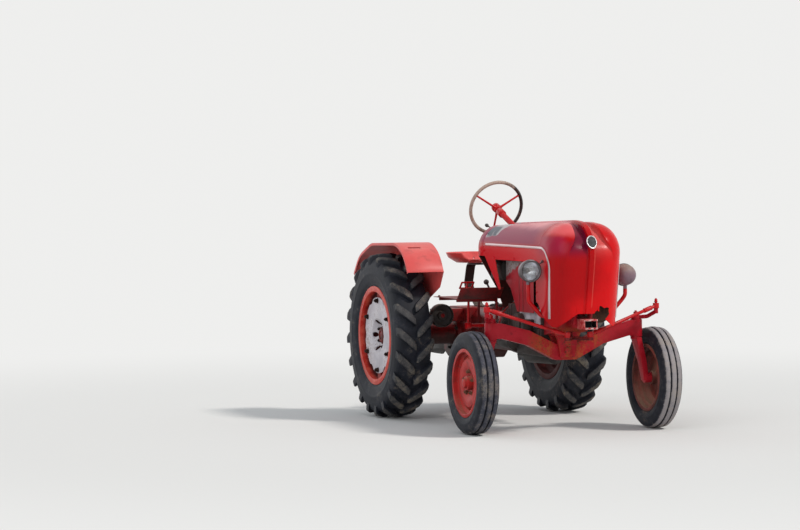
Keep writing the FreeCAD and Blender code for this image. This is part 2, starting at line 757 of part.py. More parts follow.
tilt = math.radians(column_tilt)
column_down = V(math.cos(tilt), 0, -math.sin(tilt))
hub_point = V(*wheel_hub)
column_start = 70
column_end = (carrier_front_x - 27.5 - wheel_hub[0]) / math.cos(tilt)


def steering_wheel():
    """Rim, three spokes, the hub and the shaft that turns in the column."""
    rim = Part.makeTorus(rim_radius, rim_thick, hub_point, column_down)
    hub = rod(tuple(hub_point - column_down * 14), tuple(hub_point + column_down * 46), 30)
    nut = rod(tuple(hub_point - column_down * 26), tuple(hub_point - column_down * 14), 17)
    shaft = rod(tuple(hub_point), tuple(hub_point + column_down * shaft_length), shaft_radius)
    up = V(math.sin(tilt), 0, math.cos(tilt))
    parts = [rim, hub, nut, shaft]
    for turn in (60, 180, 300):
        way = V(0, 1, 0) * math.sin(math.radians(turn)) + up * math.cos(math.radians(turn))
        root = hub_point + column_down * 26
        parts.append(rod(tuple(root), tuple(hub_point + way * rim_radius), 7))
    return fuse(parts)


def steering_column():
    """The fixed tube round the shaft, from under the wheel to the steering box."""
    tube = rod(tuple(hub_point + column_down * column_start), tuple(hub_point + column_down * column_end),
               column_radius)
    collar = rod(tuple(hub_point + column_down * column_start),
                 tuple(hub_point + column_down * (column_start + 60)),
                 column_radius + 7)
    bore = rod(tuple(hub_point + column_down * (column_start - 5)),
               tuple(hub_point + column_down * (shaft_length + 5)),
               shaft_radius + running_gap)
    return fuse([tube, collar]).cut(bore)


def steering_box():
    """The cast box at the column's foot, on the carrier's tower."""
    end = hub_point + column_down * column_end
    body = box(crank_x - 50, carrier_front_x, -52, 52, 870, end.z + 39)
    mouth = rod(tuple(end - column_down * 60), tuple(end), 34)
    sleeve = rod(tuple(end - column_down * 80), tuple(end), column_radius + face_gap)
    return fuse([body, mouth]).cut(sleeve)


add_pair("knuckle", knuckle())
add_pair("tie_rod", tie_rod())
nodes["steering_crank"] = steering_crank()
nodes["steering_wheel"] = steering_wheel()
nodes["steering_column"] = steering_column()
nodes["steering_box"] = steering_box()

# Bonnet

hood_line = [(hood_rear_x - hood_over, hood_low_z), (nose_low_x, hood_low_z), nose_top, brow, crown,
             (hood_rear_x - hood_over, hood_rear_z)]
hood_corners = [0, 0, 175, 200, 300, 0]
scoop_line = [hood_line[0], (nose_low_x + 8, hood_low_z), (nose_top[0] - 10, nose_top[1] - 90),
              (nose_top[0] - 87, nose_top[1] + 22), (brow[0] - 50, brow[1] - 18),
              (crown[0] - 35, crown[1] + 6),
              (hood_rear_x - hood_over, hood_rear_z + 40)]
scoop_corners = [0, 0, 60, 150, 150, 100, 0]
scoop_edge = [(-230, 55), (60, 95), (160, 165), (230, 165)]


def side_face(line, corners, grow):
    """A side view as a face, every line moved out by grow."""
    moved = []
    for i, (x, z) in enumerate(line):
        normals = []
        for (x0, z0), (x1, z1) in ((line[i - 1], (x, z)), ((x, z), line[(i + 1) % len(line)])):
            length = math.hypot(x1 - x0, z1 - z0)
            normals.append(((z1 - z0) / length, (x0 - x1) / length))
        nx, nz = [(a + b) / 2 for a, b in zip(*normals)]
        scale = grow / (nx * nx + nz * nz)
        moved.append(V(x + nx * scale, 0, z + nz * scale))
    return round_face(moved, [r + grow if r else 0 for r in corners])


def slab(line, corners, grow, half):
    """A side view given its width, half on each side of the middle."""
    solid = side_face(line, corners, grow).extrude(V(0, 2 * half, 0))
    solid.translate(V(0, -half, 0))
    return solid


def hood_form(grow):
    """The bonnet's outer form as a solid, grown or shrunk by a few millimetres."""
    half = hood_half_width + grow
    solid = slab(hood_line, hood_corners, grow, half)
    edges = []
    for edge in solid.Edges:
        middle = edge.valueAt((edge.FirstParameter + edge.LastParameter) / 2)
        on_side = abs(abs(middle.y) - half) < 0.01
        if on_side and middle.x > hood_rear_x + 30 and middle.z > hood_low_z + 30:
            edges.append(edge)
    return solid.makeFillet(hood_round + grow, edges)


def scoops(grow):
    """What the scoops beside the spine take out: deep at the brow, wider and shallower down the nose."""
    down, out = V(1, 0, -1).normalize(), V(1, 0, 1).normalize()
    foot = V(brow[0] + 50, 0, brow[1] - 60) - out * 130
    half = [(t, y + grow) for t, y in scoop_edge]
    outline = [foot + down * t + V(0, y, 0) for t, y in half + [(t, -y) for t, y in half[::-1]]]
    plan = round_face(outline, [0, 150, 60, 0, 0, 60, 150, 0]).extrude(out * 300)
    return plan.cut(slab(scoop_line, scoop_corners, -grow, 200))


def hood_cuts():
    """What is cut from the form: below the lower edge, side windows, the nose's notch and its torn hole."""
    far_back, far_front = hood_rear_x - 180, nose_low_x + 250
    window_rear, window_front = hood_rear_x + 220, nose_low_x - 238
    below = [(far_back, 500), (far_front, 500), (far_front, 690), (nose_low_x - 45, 690),
             (window_front + 33, 832),
             (window_front, 848), (window_front, opening_top_z), (window_rear, opening_top_z),
             (window_rear + 96, 905), (window_rear + 66, 897), (hood_rear_x + 30, 1113), (far_back, 1113)]
    notch = [(-230, 600), (-188, 690), (-70, 772), (70, 772), (188, 690), (230, 600)]
    tear = [(40, 765), (62, 806), (84, 824), (104, 808), (148, 808), (152, 766), (120, 725)]
    rear = box(hood_rear_x - 2 * hood_over, hood_rear_x, -300, 300, 500, 1500)
    return [plate("y", -300, 300, below, 0), plate("x", nose_low_x - 100, far_front, notch, 0),
            plate("x", nose_low_x - 50, far_front, tear, 0), rear]


def hood():
    """The one-piece sheet bonnet with its raised spine and the two hinge ears inside the nose."""
    spine = slab(hood_line, hood_corners, spine_height, spine_half_width)
    hollow = slab(hood_line, hood_corners, spine_height - hood_sheet, spine_half_width - hood_sheet)
    inside = hood_form(-hood_sheet).cut(scoops(hood_sheet)).fuse(hollow)
    shell = hood_form(0).cut(scoops(0)).fuse(spine).cut(inside).cut(hood_cuts())
    ears = []
    for y in (-76, 68):
        ears.append(plate("y", y, y + 8, [(hinge_x - 14, hinge_z - 14), (hinge_x + 31, hinge_z - 14),
                                          (hinge_x + 34, hinge_z + 30), (hinge_x - 14, hinge_z + 14)], 0))
    bore = rod((hinge_x, -100, hinge_z), (hinge_x, 100, hinge_z), hinge_radius + running_gap)
    return fuse([shell] + ears).cut(bore)


def hood_trim():
    """The bright strip along each side that turns down in front of the side window."""
    w = strip_half_width
    rear, front, low = hood_rear_x + 50, nose_low_x - 12, nose_low_x - 59
    outer = [(rear, 1192 + w), (front + w, 1190 + w), (low + w, 742)]
    inner = [(rear, 1192 - w), (front - w, 1190 - w), (low - w, 742)]
    band = plate("y", -300, 300, outer + inner[::-1], [0, 130 + w, 0, 0, 130 - w, 0])
    skin = hood_form(strip_proud).cut(hood_form(0))
    return band.common(skin)


nodes["hood"] = hood()
nodes["hood_trim"] = hood_trim()

# Lamps


def lamp(side):
    """A round headlamp: domed shell, rim and reflector on a short stem. The left one looks to the rear."""
    drop = left_lamp_drop if side > 0 else 0
    centre = (lamp_x, side * lamp_y, lamp_z - drop)
    r = lamp_radius
    shell = spun([(0, -70), (18, -68), (34, -62), (47, -52), (57, -38), (r - 8, -18), (r - 4, 4), (r - 4, 24),
                  (r, 26), (r, 38), (r - 8, 44), (r - 14, 40), (r - 14, 26), (r - 34, 0), (10, -22),
                  (0, -22)],
                 centre, (-side, 0, 0))
    foot = rod((lamp_x - 10, side * lamp_y, centre[2] - r - 16),
               (lamp_x - 10, side * lamp_y, centre[2] - r + 18), 12)
    return fuse([shell, foot])


def lamp_arm(side):
    """The bent tube from the carrier out under the bonnet's edge and up to the lamp."""
    drop = left_lamp_drop if side > 0 else 0
    top = lamp_z - drop - lamp_radius - 16
    tube = pipe([(carrier_front_x - 30, side * (carrier_half_width + 8), 742), (lamp_x - 35, side * 235, 757),
                 (lamp_x - 32, side * 322, 850),
                 (lamp_x - 10, side * lamp_y, top - 40), (lamp_x - 10, side * lamp_y, top)], lamp_tube, 40)
    y = side * (carrier_half_width + face_gap + 4)
    foot = box(carrier_front_x - 61, carrier_front_x - 3, y - 4, y + 4, 700, 764)
    return fuse([tube, foot])


for word, side in (("left", 1), ("right", -1)):
    nodes["lamp_" + word] = lamp(side)
    nodes["lamp_arm_" + word] = lamp_arm(side)

# Tank, cowl and the driver's place


def fuel_tank():
    """The tank behind the engine, under the column."""
    tank = plate("x", tunnel_front_x - 105, tunnel_front_x + 80,
                 [(-195, 955), (195, 955), (195, 1060), (80, 1150), (-80, 1150), (-195, 1060)], 30)
    stand = box(tunnel_front_x - 32, tunnel_front_x - 2, -30, 30, bell_z + bell_radius + face_gap, 960)
    return fuse([tank, stand])


def dash_cowl():
    """The fixed hood section behind the bonnet, with the dash panel that stands on the gearbox."""
    half = hood_half_width - 2
    top = hood_rear_z - 4
    front = hood_rear_x - 4
    ring = [(-half, 1113), (-half, top), (half, top), (half, 1113)]
    inner = [(-half + 4, 1100), (-half + 4, top - 4), (half - 4, top - 4), (half - 4, 1100)]
    outer = plate("x", cowl_rear_x, front, ring, [0, hood_round, hood_round, 0])
    hollow = plate("x", cowl_rear_x + 4, front + 10, inner, [0, hood_round - 4, hood_round - 4, 0])
    wall = plate("x", cowl_rear_x, cowl_rear_x + 4,
                 [(-half, 1114), (-118, 900), (-60, tunnel_top_z), (60, tunnel_top_z), (118, 900),
                  (half, 1114)], 0)
    hole = rod(tuple(hub_point + column_down * 250), tuple(hub_point + column_down * 520),
               column_radius + face_gap)
    return fuse([outer.cut(hollow), wall]).cut(hole)


def mudguard():
    """A folded sheet over the tyre with its inner wall, and the bracket on the axle trumpet."""
    top = bent_sheet(guard_line, guard_sheet, guard_inner_y, guard_outer_y, guard_bend)
    wall_line = guard_line + [(x, rear_radius + height)
                              for x, height in ((500, 340), (250, 240), (-300, 240), (-480, 340))]
    bends = [0] + [guard_bend] * (len(guard_line) - 2) + [0] * 5
    wall = plate("y", guard_inner_y, guard_inner_y + guard_sheet, wall_line, bends)
    lip = bent_sheet(guard_line, 18, guard_outer_y - guard_sheet, guard_outer_y, guard_bend)
    slot = box(400, 416, guard_outer_y - 150, guard_outer_y - 60, rear_radius + 560, rear_radius + 660)
    drum_top = rear_radius + drum_radius + face_gap
    bracket = plate("y", guard_inner_y - 8, guard_inner_y,
                    [(-60, drum_top), (60, drum_top), (90, rear_radius + 270), (-90, rear_radius + 270)])
    return fuse([top, wall, lip, bracket]).cut(slot)


def footplate():
    """A flat step beside the gearbox on two angle brackets, turned up at the front, slotted for the pedal."""
    y0 = tunnel_half_width + face_gap
    tread = bent_sheet([(step_rear_x, step_z), (step_front_x, step_z), (step_front_x + 70, step_z + 75)], 4,
                       y0, step_outer_y)
    parts = [tread]
    for x in (step_rear_x + 50, step_front_x - 70):
        parts.append(box(x, x + 30, y0, step_outer_y - 20, step_z - 24, step_z - 3))
        parts.append(box(x, x + 30, y0, y0 + 6, 600, step_z - 3))
    slot = box(pedal_x - 60, pedal_x + 60, pedal_y - 14, pedal_y + 14, step_z - 10, step_z + 5)
    return fuse(parts).cut(slot)


def pedals():
    """Brake pedal on the right and clutch pedal on the left, on one cross shaft through the housing."""
    parts = []
    for s in (-1, 1):
        shaft = rod((pedal_x + 20, s * (tunnel_half_width + face_gap), 640),
                    (pedal_x + 20, s * (pedal_y + 12), 640), 14)
        arm = pipe([(pedal_x + 20, s * pedal_y, 640), (pedal_x + 30, s * pedal_y, 800),
                    (pedal_x - 4, s * pedal_y, 908)],
                   8, 60)
        low, high, wide = (pedal_x - 24, 890), (pedal_x + 20, 930), 42
        corners = [(low[0], s * pedal_y - wide, low[1]), (low[0], s * pedal_y + wide, low[1]),
                   (high[0], s * pedal_y + wide, high[1]), (high[0], s * pedal_y - wide, high[1])]
        bars = [rod(a, b, 6) for a, b in zip(corners, corners[1:] + corners[:1])]
        bars += [Part.makeSphere(6, V(*corner)) for corner in corners]
        bars.append(rod((pedal_x - 24, s * pedal_y, 890), (pedal_x + 20, s * pedal_y, 930), 6))
        boss = rod((pedal_x + 20, s * pedal_y - 16, 640), (pedal_x + 20, s * pedal_y + 16, 640), 24)
        parts.append(fuse([shaft, arm, boss] + bars))
    return Part.makeCompound(parts)


def gear_levers():
    """Two levers with knobs on the cover: the gears and the power take-off."""
    cover_x = tunnel_front_x - 455
    parts = [box(cover_x, cover_x + 170, -60, 60, tunnel_top_z + 18, tunnel_top_z + 34)]
    for x, y, height in ((cover_x + 130, 25, 300), (cover_x + 50, -40, 150)):
        foot = (x, y, tunnel_top_z + 34)
        top = (x - 70, y * 2.2, tunnel_top_z + 30 + height)
        parts.append(rod(foot, top, 7))
        parts.append(Part.makeSphere(18, V(*top)))
        parts.append(Part.makeSphere(15, V(*foot)))
    return fuse(parts)


def seat_pan():
    """The pressed steel seat, a shallow bowl with a raised back."""
    r = seat_radius
    bowl = spun([(0, 0), (r * 0.66, 6), (r * 0.92, 40), (r, 74), (r - 5, 75), (r * 0.9 - 3, 45),
                 (r * 0.64, 12),
                 (0, 6)], (seat_x, 0, seat_z), (0, 0, 1))
    front = box(seat_x + r * 0.62, seat_x + r + 10, -r, r, seat_z + 30, seat_z + 90)
    holes = []
    for ring, count, radius in ((0.52, 8, 13), (0.80, 14, 9)):
        for i in range(count):
            angle = 2 * math.pi * (i + 0.5) / count
            x, y = seat_x + ring * r * math.cos(angle), ring * r * math.sin(angle)
            holes.append(rod((x, y, seat_z - 5), (x, y, seat_z + 60), radius))
    return bowl.cut([front] + holes)


def seat_spring():
    """The leaf spring from the gearbox's top, back and up to the seat."""
    top = seat_z - face_gap
    line = [(330, tunnel_top_z), (60, tunnel_top_z), (-150, 880), (-90, top), (100, top)]
    return bent_sheet(line, 10, -32, 32, 55)


nodes["fuel_tank"] = fuel_tank()
nodes["dash_cowl"] = dash_cowl()
add_pair("mudguard", mudguard())
add_pair("footplate", footplate())
nodes["pedals"] = pedals()
nodes["gear_levers"] = gear_levers()
nodes["seat_pan"] = seat_pan()
nodes["seat_spring"] = seat_spring()

# Belt pulley on the right, driven from the gearbox

pulley_x = 175
pulley_y = 330
pulley_z = 695
pulley_radius = 80


def pulley_drive():
    """The angle drive's housing on the axle case's flank, with the shaft that the pulley turns on."""
    arm = box(90, 165, -pulley_y - 40, -case_half_width, pulley_z - 42, pulley_z + 42)
    shaft = rod((160, -pulley_y, pulley_z), (pulley_x + 62, -pulley_y, pulley_z), 14)
    boss = rod((160, -pulley_y, pulley_z), (pulley_x - face_gap, -pulley_y, pulley_z), 34)
    return fuse([arm, boss, shaft])


def side_pulley():
    """The belt pulley: a crowned rim on a web and a hub."""
    r = pulley_radius
    return spun([(14 + running_gap, 0), (30, 0), (30, 26), (r - 8, 26), (r - 8, 0), (r - 2, 0), (r, 32),
                 (r - 2, 64),
                 (r - 8, 64), (r - 8, 34), (30, 34), (30, 60), (14 + running_gap, 60)],
                (pulley_x, -pulley_y, pulley_z), (1, 0, 0))


nodes["pulley_drive"] = pulley_drive()
nodes["side_pulley"] = side_pulley()

os.makedirs("parts", exist_ok=True)
for name, shape in nodes.items():
    shape.translate(V(-origin_x, 0, 0))
    shape.exportStep("parts/" + name + ".step")
    print(name, "valid" if shape.isValid() else "NOT VALID", len(shape.Solids), round(shape.Volume / 1e6, 2),
          [round(v) for v in (shape.BoundBox.XMin, shape.BoundBox.XMax, shape.BoundBox.YMin,
                              shape.BoundBox.YMax,
                              shape.BoundBox.ZMin, shape.BoundBox.ZMax)])
print(len(nodes), "nodes")
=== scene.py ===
"""Farm tractor of the 1950s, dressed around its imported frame.

Metres. +X is forward, +Y is the driver's left, +Z is up, and the origin lies on the ground under the middle.
"""

import json
import math

import bmesh
import bpy
from mathutils import Matrix, Vector
from mathutils.bvhtree import BVHTree


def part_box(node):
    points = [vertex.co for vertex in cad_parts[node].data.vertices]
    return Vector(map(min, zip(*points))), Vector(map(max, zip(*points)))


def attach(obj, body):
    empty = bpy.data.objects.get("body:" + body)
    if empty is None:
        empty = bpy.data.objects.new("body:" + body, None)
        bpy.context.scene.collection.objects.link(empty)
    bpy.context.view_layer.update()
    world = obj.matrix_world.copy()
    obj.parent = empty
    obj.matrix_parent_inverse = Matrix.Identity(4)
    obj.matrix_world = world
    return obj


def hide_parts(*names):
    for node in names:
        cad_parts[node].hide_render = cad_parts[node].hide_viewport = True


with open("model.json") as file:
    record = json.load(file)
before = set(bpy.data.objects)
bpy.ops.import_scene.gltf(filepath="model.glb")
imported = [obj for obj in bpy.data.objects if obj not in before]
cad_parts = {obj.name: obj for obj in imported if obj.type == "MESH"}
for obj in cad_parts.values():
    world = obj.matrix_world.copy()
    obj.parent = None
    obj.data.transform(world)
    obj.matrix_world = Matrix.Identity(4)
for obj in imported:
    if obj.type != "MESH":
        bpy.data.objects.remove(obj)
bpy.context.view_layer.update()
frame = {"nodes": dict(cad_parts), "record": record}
nodes = frame["nodes"]
body_of = {node: body for body, held in frame["record"]["behaviour"]["bodies"].items() for node in held}

# Studio
# The camera stands where the photograph was taken, far off with a long lens. The floor is pale and matt and
# fades into an even backdrop; one high lamp stands for the sun and two broad weak ones fill the shade.

camera_place = Vector((20.569, -8.151, 1.779))
camera_aim = Vector((-0.139, -0.757, 1.056))
camera_roll = math.radians(-0.45)
camera_lens = 149.2
backdrop_colour = (0.86, 0.86, 0.85)
floor_colour = (0.74, 0.735, 0.72)
sky_colour = (0.90, 0.95, 1.0)
sky_strength = 0.50
lamps = (  # name, the light's way, spread in degrees, strength, colour
    ("sun side", (-0.50, -0.52, -0.72), 9, 2.0, (1.0, 0.96, 0.91)),
    ("camera side", (-0.62, 0.66, -0.36), 50, 0.75, (0.96, 0.98, 1.0)),
    ("rear side", (0.80, 0.35, -0.45), 60, 0.45, (0.96, 0.98, 1.0)),
)
floor_half = 80.0
fade_start = 3.5
fade_end = 9.0


def add_object(name, mesh):
    made = bpy.data.objects.new(name, mesh)
    bpy.context.collection.objects.link(made)
    return made


def add_node(tree, kind, settings=None, values=(), output=0):
    """Adds one node: its settings first, then its sockets by name or number, as a value or a link."""
    made = tree.nodes.new(kind)
    for key, value in (settings or {}).items():
        setattr(made, key, value)
    for key, value in values.items() if isinstance(values, dict) else enumerate(values):
        if isinstance(value, bpy.types.NodeSocket):
            tree.links.new(value, made.inputs[key])
        else:
            made.inputs[key].default_value = value
    return made.outputs[output] if made.outputs else None


class Wire:
    """One output in a finish's node tree; sums on it add Math nodes."""

    def __init__(self, finish, socket):
        self.finish = finish
        self.socket = socket

    def maths(self, operation, *values):
        return self.finish.node("Math", {"operation": operation}, values)

    def __add__(self, other):
        return self.maths("ADD", self, other)

    def __sub__(self, other):
        return self.maths("SUBTRACT", self, other)

    def __mul__(self, other):
        return self.maths("MULTIPLY", self, other)

    def __rsub__(self, other):
        return self.maths("SUBTRACT", other, self)

    __radd__ = __add__
    __rmul__ = __mul__

    def most(self, other):
        return self.maths("MAXIMUM", self, other)

    def size(self):
        return self.maths("ABSOLUTE", self)

    def step(self, low, high):
        """0 below low and 1 above high, with a smooth rise between; low may be the greater."""
        settings = {"interpolation_type": "SMOOTHSTEP"}
        if low > high:
            return 1 - self.step(high, low)
        return self.finish.node("MapRange", settings, {"Value": self, "From Min": low, "From Max": high})


class Finish:
    """A material and its node tree. place is the piece's own coordinates, facing its own normal."""

    def __init__(self, name):
        self.material = bpy.data.materials.new(name)
        self.material.use_nodes = True
        self.tree = self.material.node_tree
        self.tree.nodes.clear()
        self.place = self.node("TexCoord", output="Object")
        self.facing = self.node("TexCoord", output="Normal")

    def node(self, kind, settings=None, values=(), output=0):
        pairs = values.items() if isinstance(values, dict) else enumerate(values)
        values = {key: value.socket if isinstance(value, Wire) else value for key, value in pairs}
        return Wire(self, add_node(self.tree, "ShaderNode" + kind, settings, values, output))

    def part(self, wire, axis):
        """One coordinate of a vector."""
        return self.node("SeparateXYZ", None, [wire], axis)

    def axes(self):
        return [self.part(self.place, axis) for axis in range(3)]

    def up(self):
        """How far the skin looks up, from -1 to 1."""
        return self.part(self.facing, 2)

    def noise(self, scale, detail=3.0, seed=0.0, stretch=None):
        """Cloudy noise of 0 to 1, its grain about 1 / scale metres."""
        place = self.place
        if stretch:
            place = self.node("Mapping", None, {"Vector": place, "Scale": stretch})
        return self.node("TexNoise", {"noise_dimensions": "4D"},
                         {"Vector": place, "W": seed, "Scale": scale, "Detail": detail, "Roughness": 0.55})

    def mark(self, name):
        """A number painted on the mesh itself, such as worn for a rounded edge."""
        return self.node("Attribute", {"attribute_name": name}, output="Fac")

    def mix(self, first, second, mask):
        """Two colours mixed by a mask of 0 to 1."""
        pair = [colour if isinstance(colour, Wire) else (*colour, 1.0) for colour in (first, second)]
        return self.node("Mix", {"data_type": "RGBA"}, {0: mask, 6: pair[0], 7: pair[1]}, 2)

    def coat(self, colour, mask):
        """A colour laid over the base colour so far."""
        self.base = self.mix(self.base, colour, mask)

    def bump(self, height, distance, strength):
        return self.node("Bump", None, {"Strength": strength, "Distance": distance, "Height": height})

    def close(self, shader):
        self.node("OutputMaterial", None, {"Surface": shader})
        return self.material

    def surface(self, **sockets):
        """Ends the tree in one shader over the base; Base_Color stands for Base Color and so on."""
        values = {key.replace("_", " "): value for key, value in sockets.items()}
        return self.close(self.node("BsdfPrincipled", None, {"Base Color": self.base, **values}))


def lay_floor():
    """A floor whose lit colour fades into the backdrop's plain one with distance."""
    corners = [(x * floor_half, y * floor_half, 0) for x, y in ((-1, -1), (1, -1), (1, 1), (-1, 1))]
    mesh = bpy.data.meshes.new("studio floor")
    mesh.from_pydata(corners, [], [(0, 1, 2, 3)])
    finish = Finish("floor")
    flat = finish.node("VectorMath", {"operation": "LENGTH"}, [finish.place], "Value")
    lit = finish.node("BsdfDiffuse", None, {"Color": (*floor_colour, 1)})
    plain = finish.node("Emission", None, {"Color": (*backdrop_colour, 1), "Strength": 1.0})
    mesh.materials.append(finish.close(finish.node("MixShader", None,
                                                   [flat.step(fade_start, fade_end), lit, plain])))
    add_object("studio_floor", mesh)


def add_lamp(name, way, spread, strength, colour):
    """A far lamp; its spread softens the shadows."""
    data = bpy.data.lights.new(name, "SUN")
    data.angle = math.radians(spread)
    data.energy = strength
    data.color = colour
    lamp = add_object(name, data)
    lamp.location = -3 * Vector(way)
    lamp.rotation_euler = Vector(way).to_track_quat("-Z", "Y").to_euler()


def set_backdrop():
    """An even world: a plain colour for the camera, gloss and glass, and weaker light on the object."""
    world = bpy.data.worlds.new("backdrop")
    world.use_nodes = True
    bpy.context.scene.world = world
    tree = world.node_tree
    tree.nodes.clear()
    shown = add_node(tree, "ShaderNodeLightPath", output="Is Camera Ray")
    rays = shown.node.outputs
    for kind in ("Is Glossy Ray", "Is Transmission Ray"):
        shown = add_node(tree, "ShaderNodeMath", {"operation": "MAXIMUM"}, [shown, rays[kind]])
    light = add_node(tree, "ShaderNodeBackground", None, [(*sky_colour, 1), sky_strength])
    seen = add_node(tree, "ShaderNodeBackground", None, [(*backdrop_colour, 1)])
    mixed = add_node(tree, "ShaderNodeMixShader", None, [shown, light, seen])
    add_node(tree, "ShaderNodeOutputWorld", None, {"Surface": mixed})


def set_camera():
    data = bpy.data.cameras.new("camera")
    data.lens = camera_lens
    data.sensor_width = 36.0
    data.clip_end = 300.0
    camera = add_object("camera", data)
    turn = (camera_aim - camera_place).to_track_quat("-Z", "Y").to_matrix().to_4x4()
    camera.matrix_world = Matrix.Translation(camera_place) @ turn @ Matrix.Rotation(camera_roll, 4, "Z")
    bpy.context.scene.camera = camera


lay_floor()
set_backdrop()
set_camera()
for lamp in lamps:
    add_lamp(*lamp)
bpy.context.scene.view_settings.view_transform = "Standard"

# Rear tyres
# Cross-ply rubber with two rows of slanted lugs that meet in an open chevron. The tread wears pale and
# dusty on top of each lug, and the walls stay blue-black. No lettering stands on the walls.

both_sides = ((1, "left"), (-1, "right"))
rear_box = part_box("rear_tyre_left")
rear_wheel = (rear_box[0] + rear_box[1]) / 2
rear_radius = (rear_box[1].z - rear_box[0].z) / 2
lug_height = 0.032
lug_count = 20
lug_slant = math.radians(42)
lug_foot = 0.056
tread_half = 0.120
wall_rings = [(0.3052, 0.1030), (0.322, 0.1035), (0.3375, 0.1040), (0.3400, 0.1090), (0.3450, 0.1120),
              (0.3500, 0.1120), (0.3530, 0.1155), (0.375, 0.1225), (0.400, 0.1275), (0.4120, 0.1290),
              (0.4150, 0.1305), (0.4260, 0.1308), (0.4290, 0.1298), (0.4550, 0.1290), (0.480, 0.1250),
              (0.497, 0.1190)]  # radius, half width
rubber_colour = (0.0065, 0.0078, 0.0125)
rubber_faded = (0.018, 0.021, 0.032)
rubber_worn = (0.075, 0.073, 0.074)
dust_colour = (0.36, 0.29, 0.20)


def make_mesh(name, vertices, faces, sharp=40.0, **marks):
    """A mesh with its doubles merged, its faces outwards, its edges sharp past an angle, and its marks."""
    mesh = bpy.data.meshes.new(name)
    mesh.from_pydata(vertices, [], faces)
    for mark, values in marks.items():
        mesh.attributes.new(mark, "FLOAT", "POINT").data.foreach_set("value", values)
    bm = bmesh.new()
    bm.from_mesh(mesh)
    bmesh.ops.remove_doubles(bm, verts=bm.verts, dist=1e-5)
    bmesh.ops.recalc_face_normals(bm, faces=bm.faces)
    bm.to_mesh(mesh)
    bm.free()
    shade(mesh, sharp)
    return mesh


def shade(mesh, sharp):
    mesh.shade_smooth()
    mesh.set_sharp_from_angle(angle=math.radians(sharp))


def between_rings(rings, sides, looped=False, open_sides=False, start=0):
    """Quads between rings of as many points each; looped joins the last ring to the first."""
    faces = []
    for i in range(rings if looped else rings - 1):
        here, there = start + i * sides, start + (i + 1) % rings * sides
        for k in range(sides - 1 if open_sides else sides):
            after = (k + 1) % sides
            faces.append((here + k, here + after, there + after, there + k))
    return faces


def end_faces(rings, sides):
    """The first and the last ring, each as one face."""
    return [tuple(range(sides)), tuple(range((rings - 1) * sides, rings * sides))]


def lathe(profile, centre, axis="y", segments=96, closed=True):
    """Vertices and faces of a profile of (radius, height along the axis) pairs turned round an axis."""
    vertices = []
    for i in range(segments):
        angle = 2 * math.pi * i / segments
        c, s = math.cos(angle), math.sin(angle)
        for radius, height in profile:
            turned = {"y": (radius * s, height, radius * c), "z": (radius * c, radius * s, height)}[axis]
            vertices.append(Vector(turned) + Vector(centre))
    return vertices, between_rings(segments, len(profile), True, not closed)


def rounded(points, radii, step=12.0):
    """A way through points with its corners rounded off; step is the arc's angle for each part of it."""
    way = []
    for i, corner in enumerate(points):
        corner = Vector(corner)
        radius = radii[i] if i < len(radii) else 0
        if not radius or i in (0, len(points) - 1):
            way.append(corner)
            continue
        back = (Vector(points[i - 1]) - corner).normalized()
        ahead = (Vector(points[i + 1]) - corner).normalized()
        half = back.angle(ahead) / 2
        reach = radius / math.tan(half)
        centre = corner + (back + ahead).normalized() * radius / math.sin(half)
        start, end = corner + back * reach - centre, corner + ahead * reach - centre
        turn = start.angle(end)
        parts = max(2, round(math.degrees(turn) / step))
        for k in range(parts + 1):
            t = k / parts
            way.append(centre + (start * math.sin((1 - t) * turn) + end * math.sin(t * turn))
                       / math.sin(turn))
    return way


def dress(piece, material, body, slot, *replaced):
    """Gives a piece its material, the body it rides on and the nodes that it stands for; slot is not used."""
    piece.data.materials.clear()
    piece.data.materials.append(material)
    for face in piece.data.polygons:
        face.material_index = 0
    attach(piece, body)
    if replaced:
        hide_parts(*replaced)
    return piece


def new_tree(name, inputs):
    """A Geometry Nodes tree, what its inputs give, and each input's identifier."""
    tree = bpy.data.node_groups.new(name, "GeometryNodeTree")
    keys = {}
    for label, kind in (("Geometry", "Geometry"), *inputs):
        keys[label] = tree.interface.new_socket(label, in_out="INPUT",
                                                socket_type="NodeSocket" + kind).identifier
    tree.interface.new_socket("Geometry", in_out="OUTPUT", socket_type="NodeSocketGeometry")
    return tree, tree.nodes.new("NodeGroupInput").outputs, keys


def close_tree(tree, copies, given):
    """Makes the copies one plain mesh in its material and hands it out."""
    real = add_node(tree, "GeometryNodeRealizeInstances", None, [copies])
    paint = add_node(tree, "GeometryNodeSetMaterial", None, {"Geometry": real, "Material": given["Material"]})
    add_node(tree, "NodeGroupOutput", None, [paint])


def around_tree():
    """A node tree that sets copies of a mesh round an axis."""
    tree, given, keys = new_tree("copies around an axis", (
        ("Count", "Int"), ("Start", "Float"), ("Sweep", "Float"), ("Axis", "Vector"), ("Centre", "Vector"),
        ("Material", "Material")))
    points = add_node(tree, "GeometryNodePoints", None,
                      {"Count": given["Count"], "Position": given["Centre"]})
    number = add_node(tree, "GeometryNodeInputIndex")
    share = add_node(tree, "ShaderNodeMath", {"operation": "DIVIDE"}, [number, given["Count"]])
    turn = add_node(tree, "ShaderNodeMath", {"operation": "MULTIPLY_ADD"},
                    [share, given["Sweep"], given["Start"]])
    spin = add_node(tree, "FunctionNodeAxisAngleToRotation", None, {"Axis": given["Axis"], "Angle": turn})
    copies = add_node(tree, "GeometryNodeInstanceOnPoints", None,
                      {"Points": points, "Instance": given["Geometry"], "Rotation": spin})
    close_tree(tree, copies, given)
    return tree, keys


round_tree = around_tree()


def plain_mesh(piece, name):
    """The evaluated object's mesh, with every modifier in it, on a new object."""
    view = bpy.context.evaluated_depsgraph_get()
    mesh = bpy.data.meshes.new_from_object(piece.evaluated_get(view))
    bpy.data.objects.remove(piece)
    made = add_object(name, mesh)
    mesh.name = name
    return made


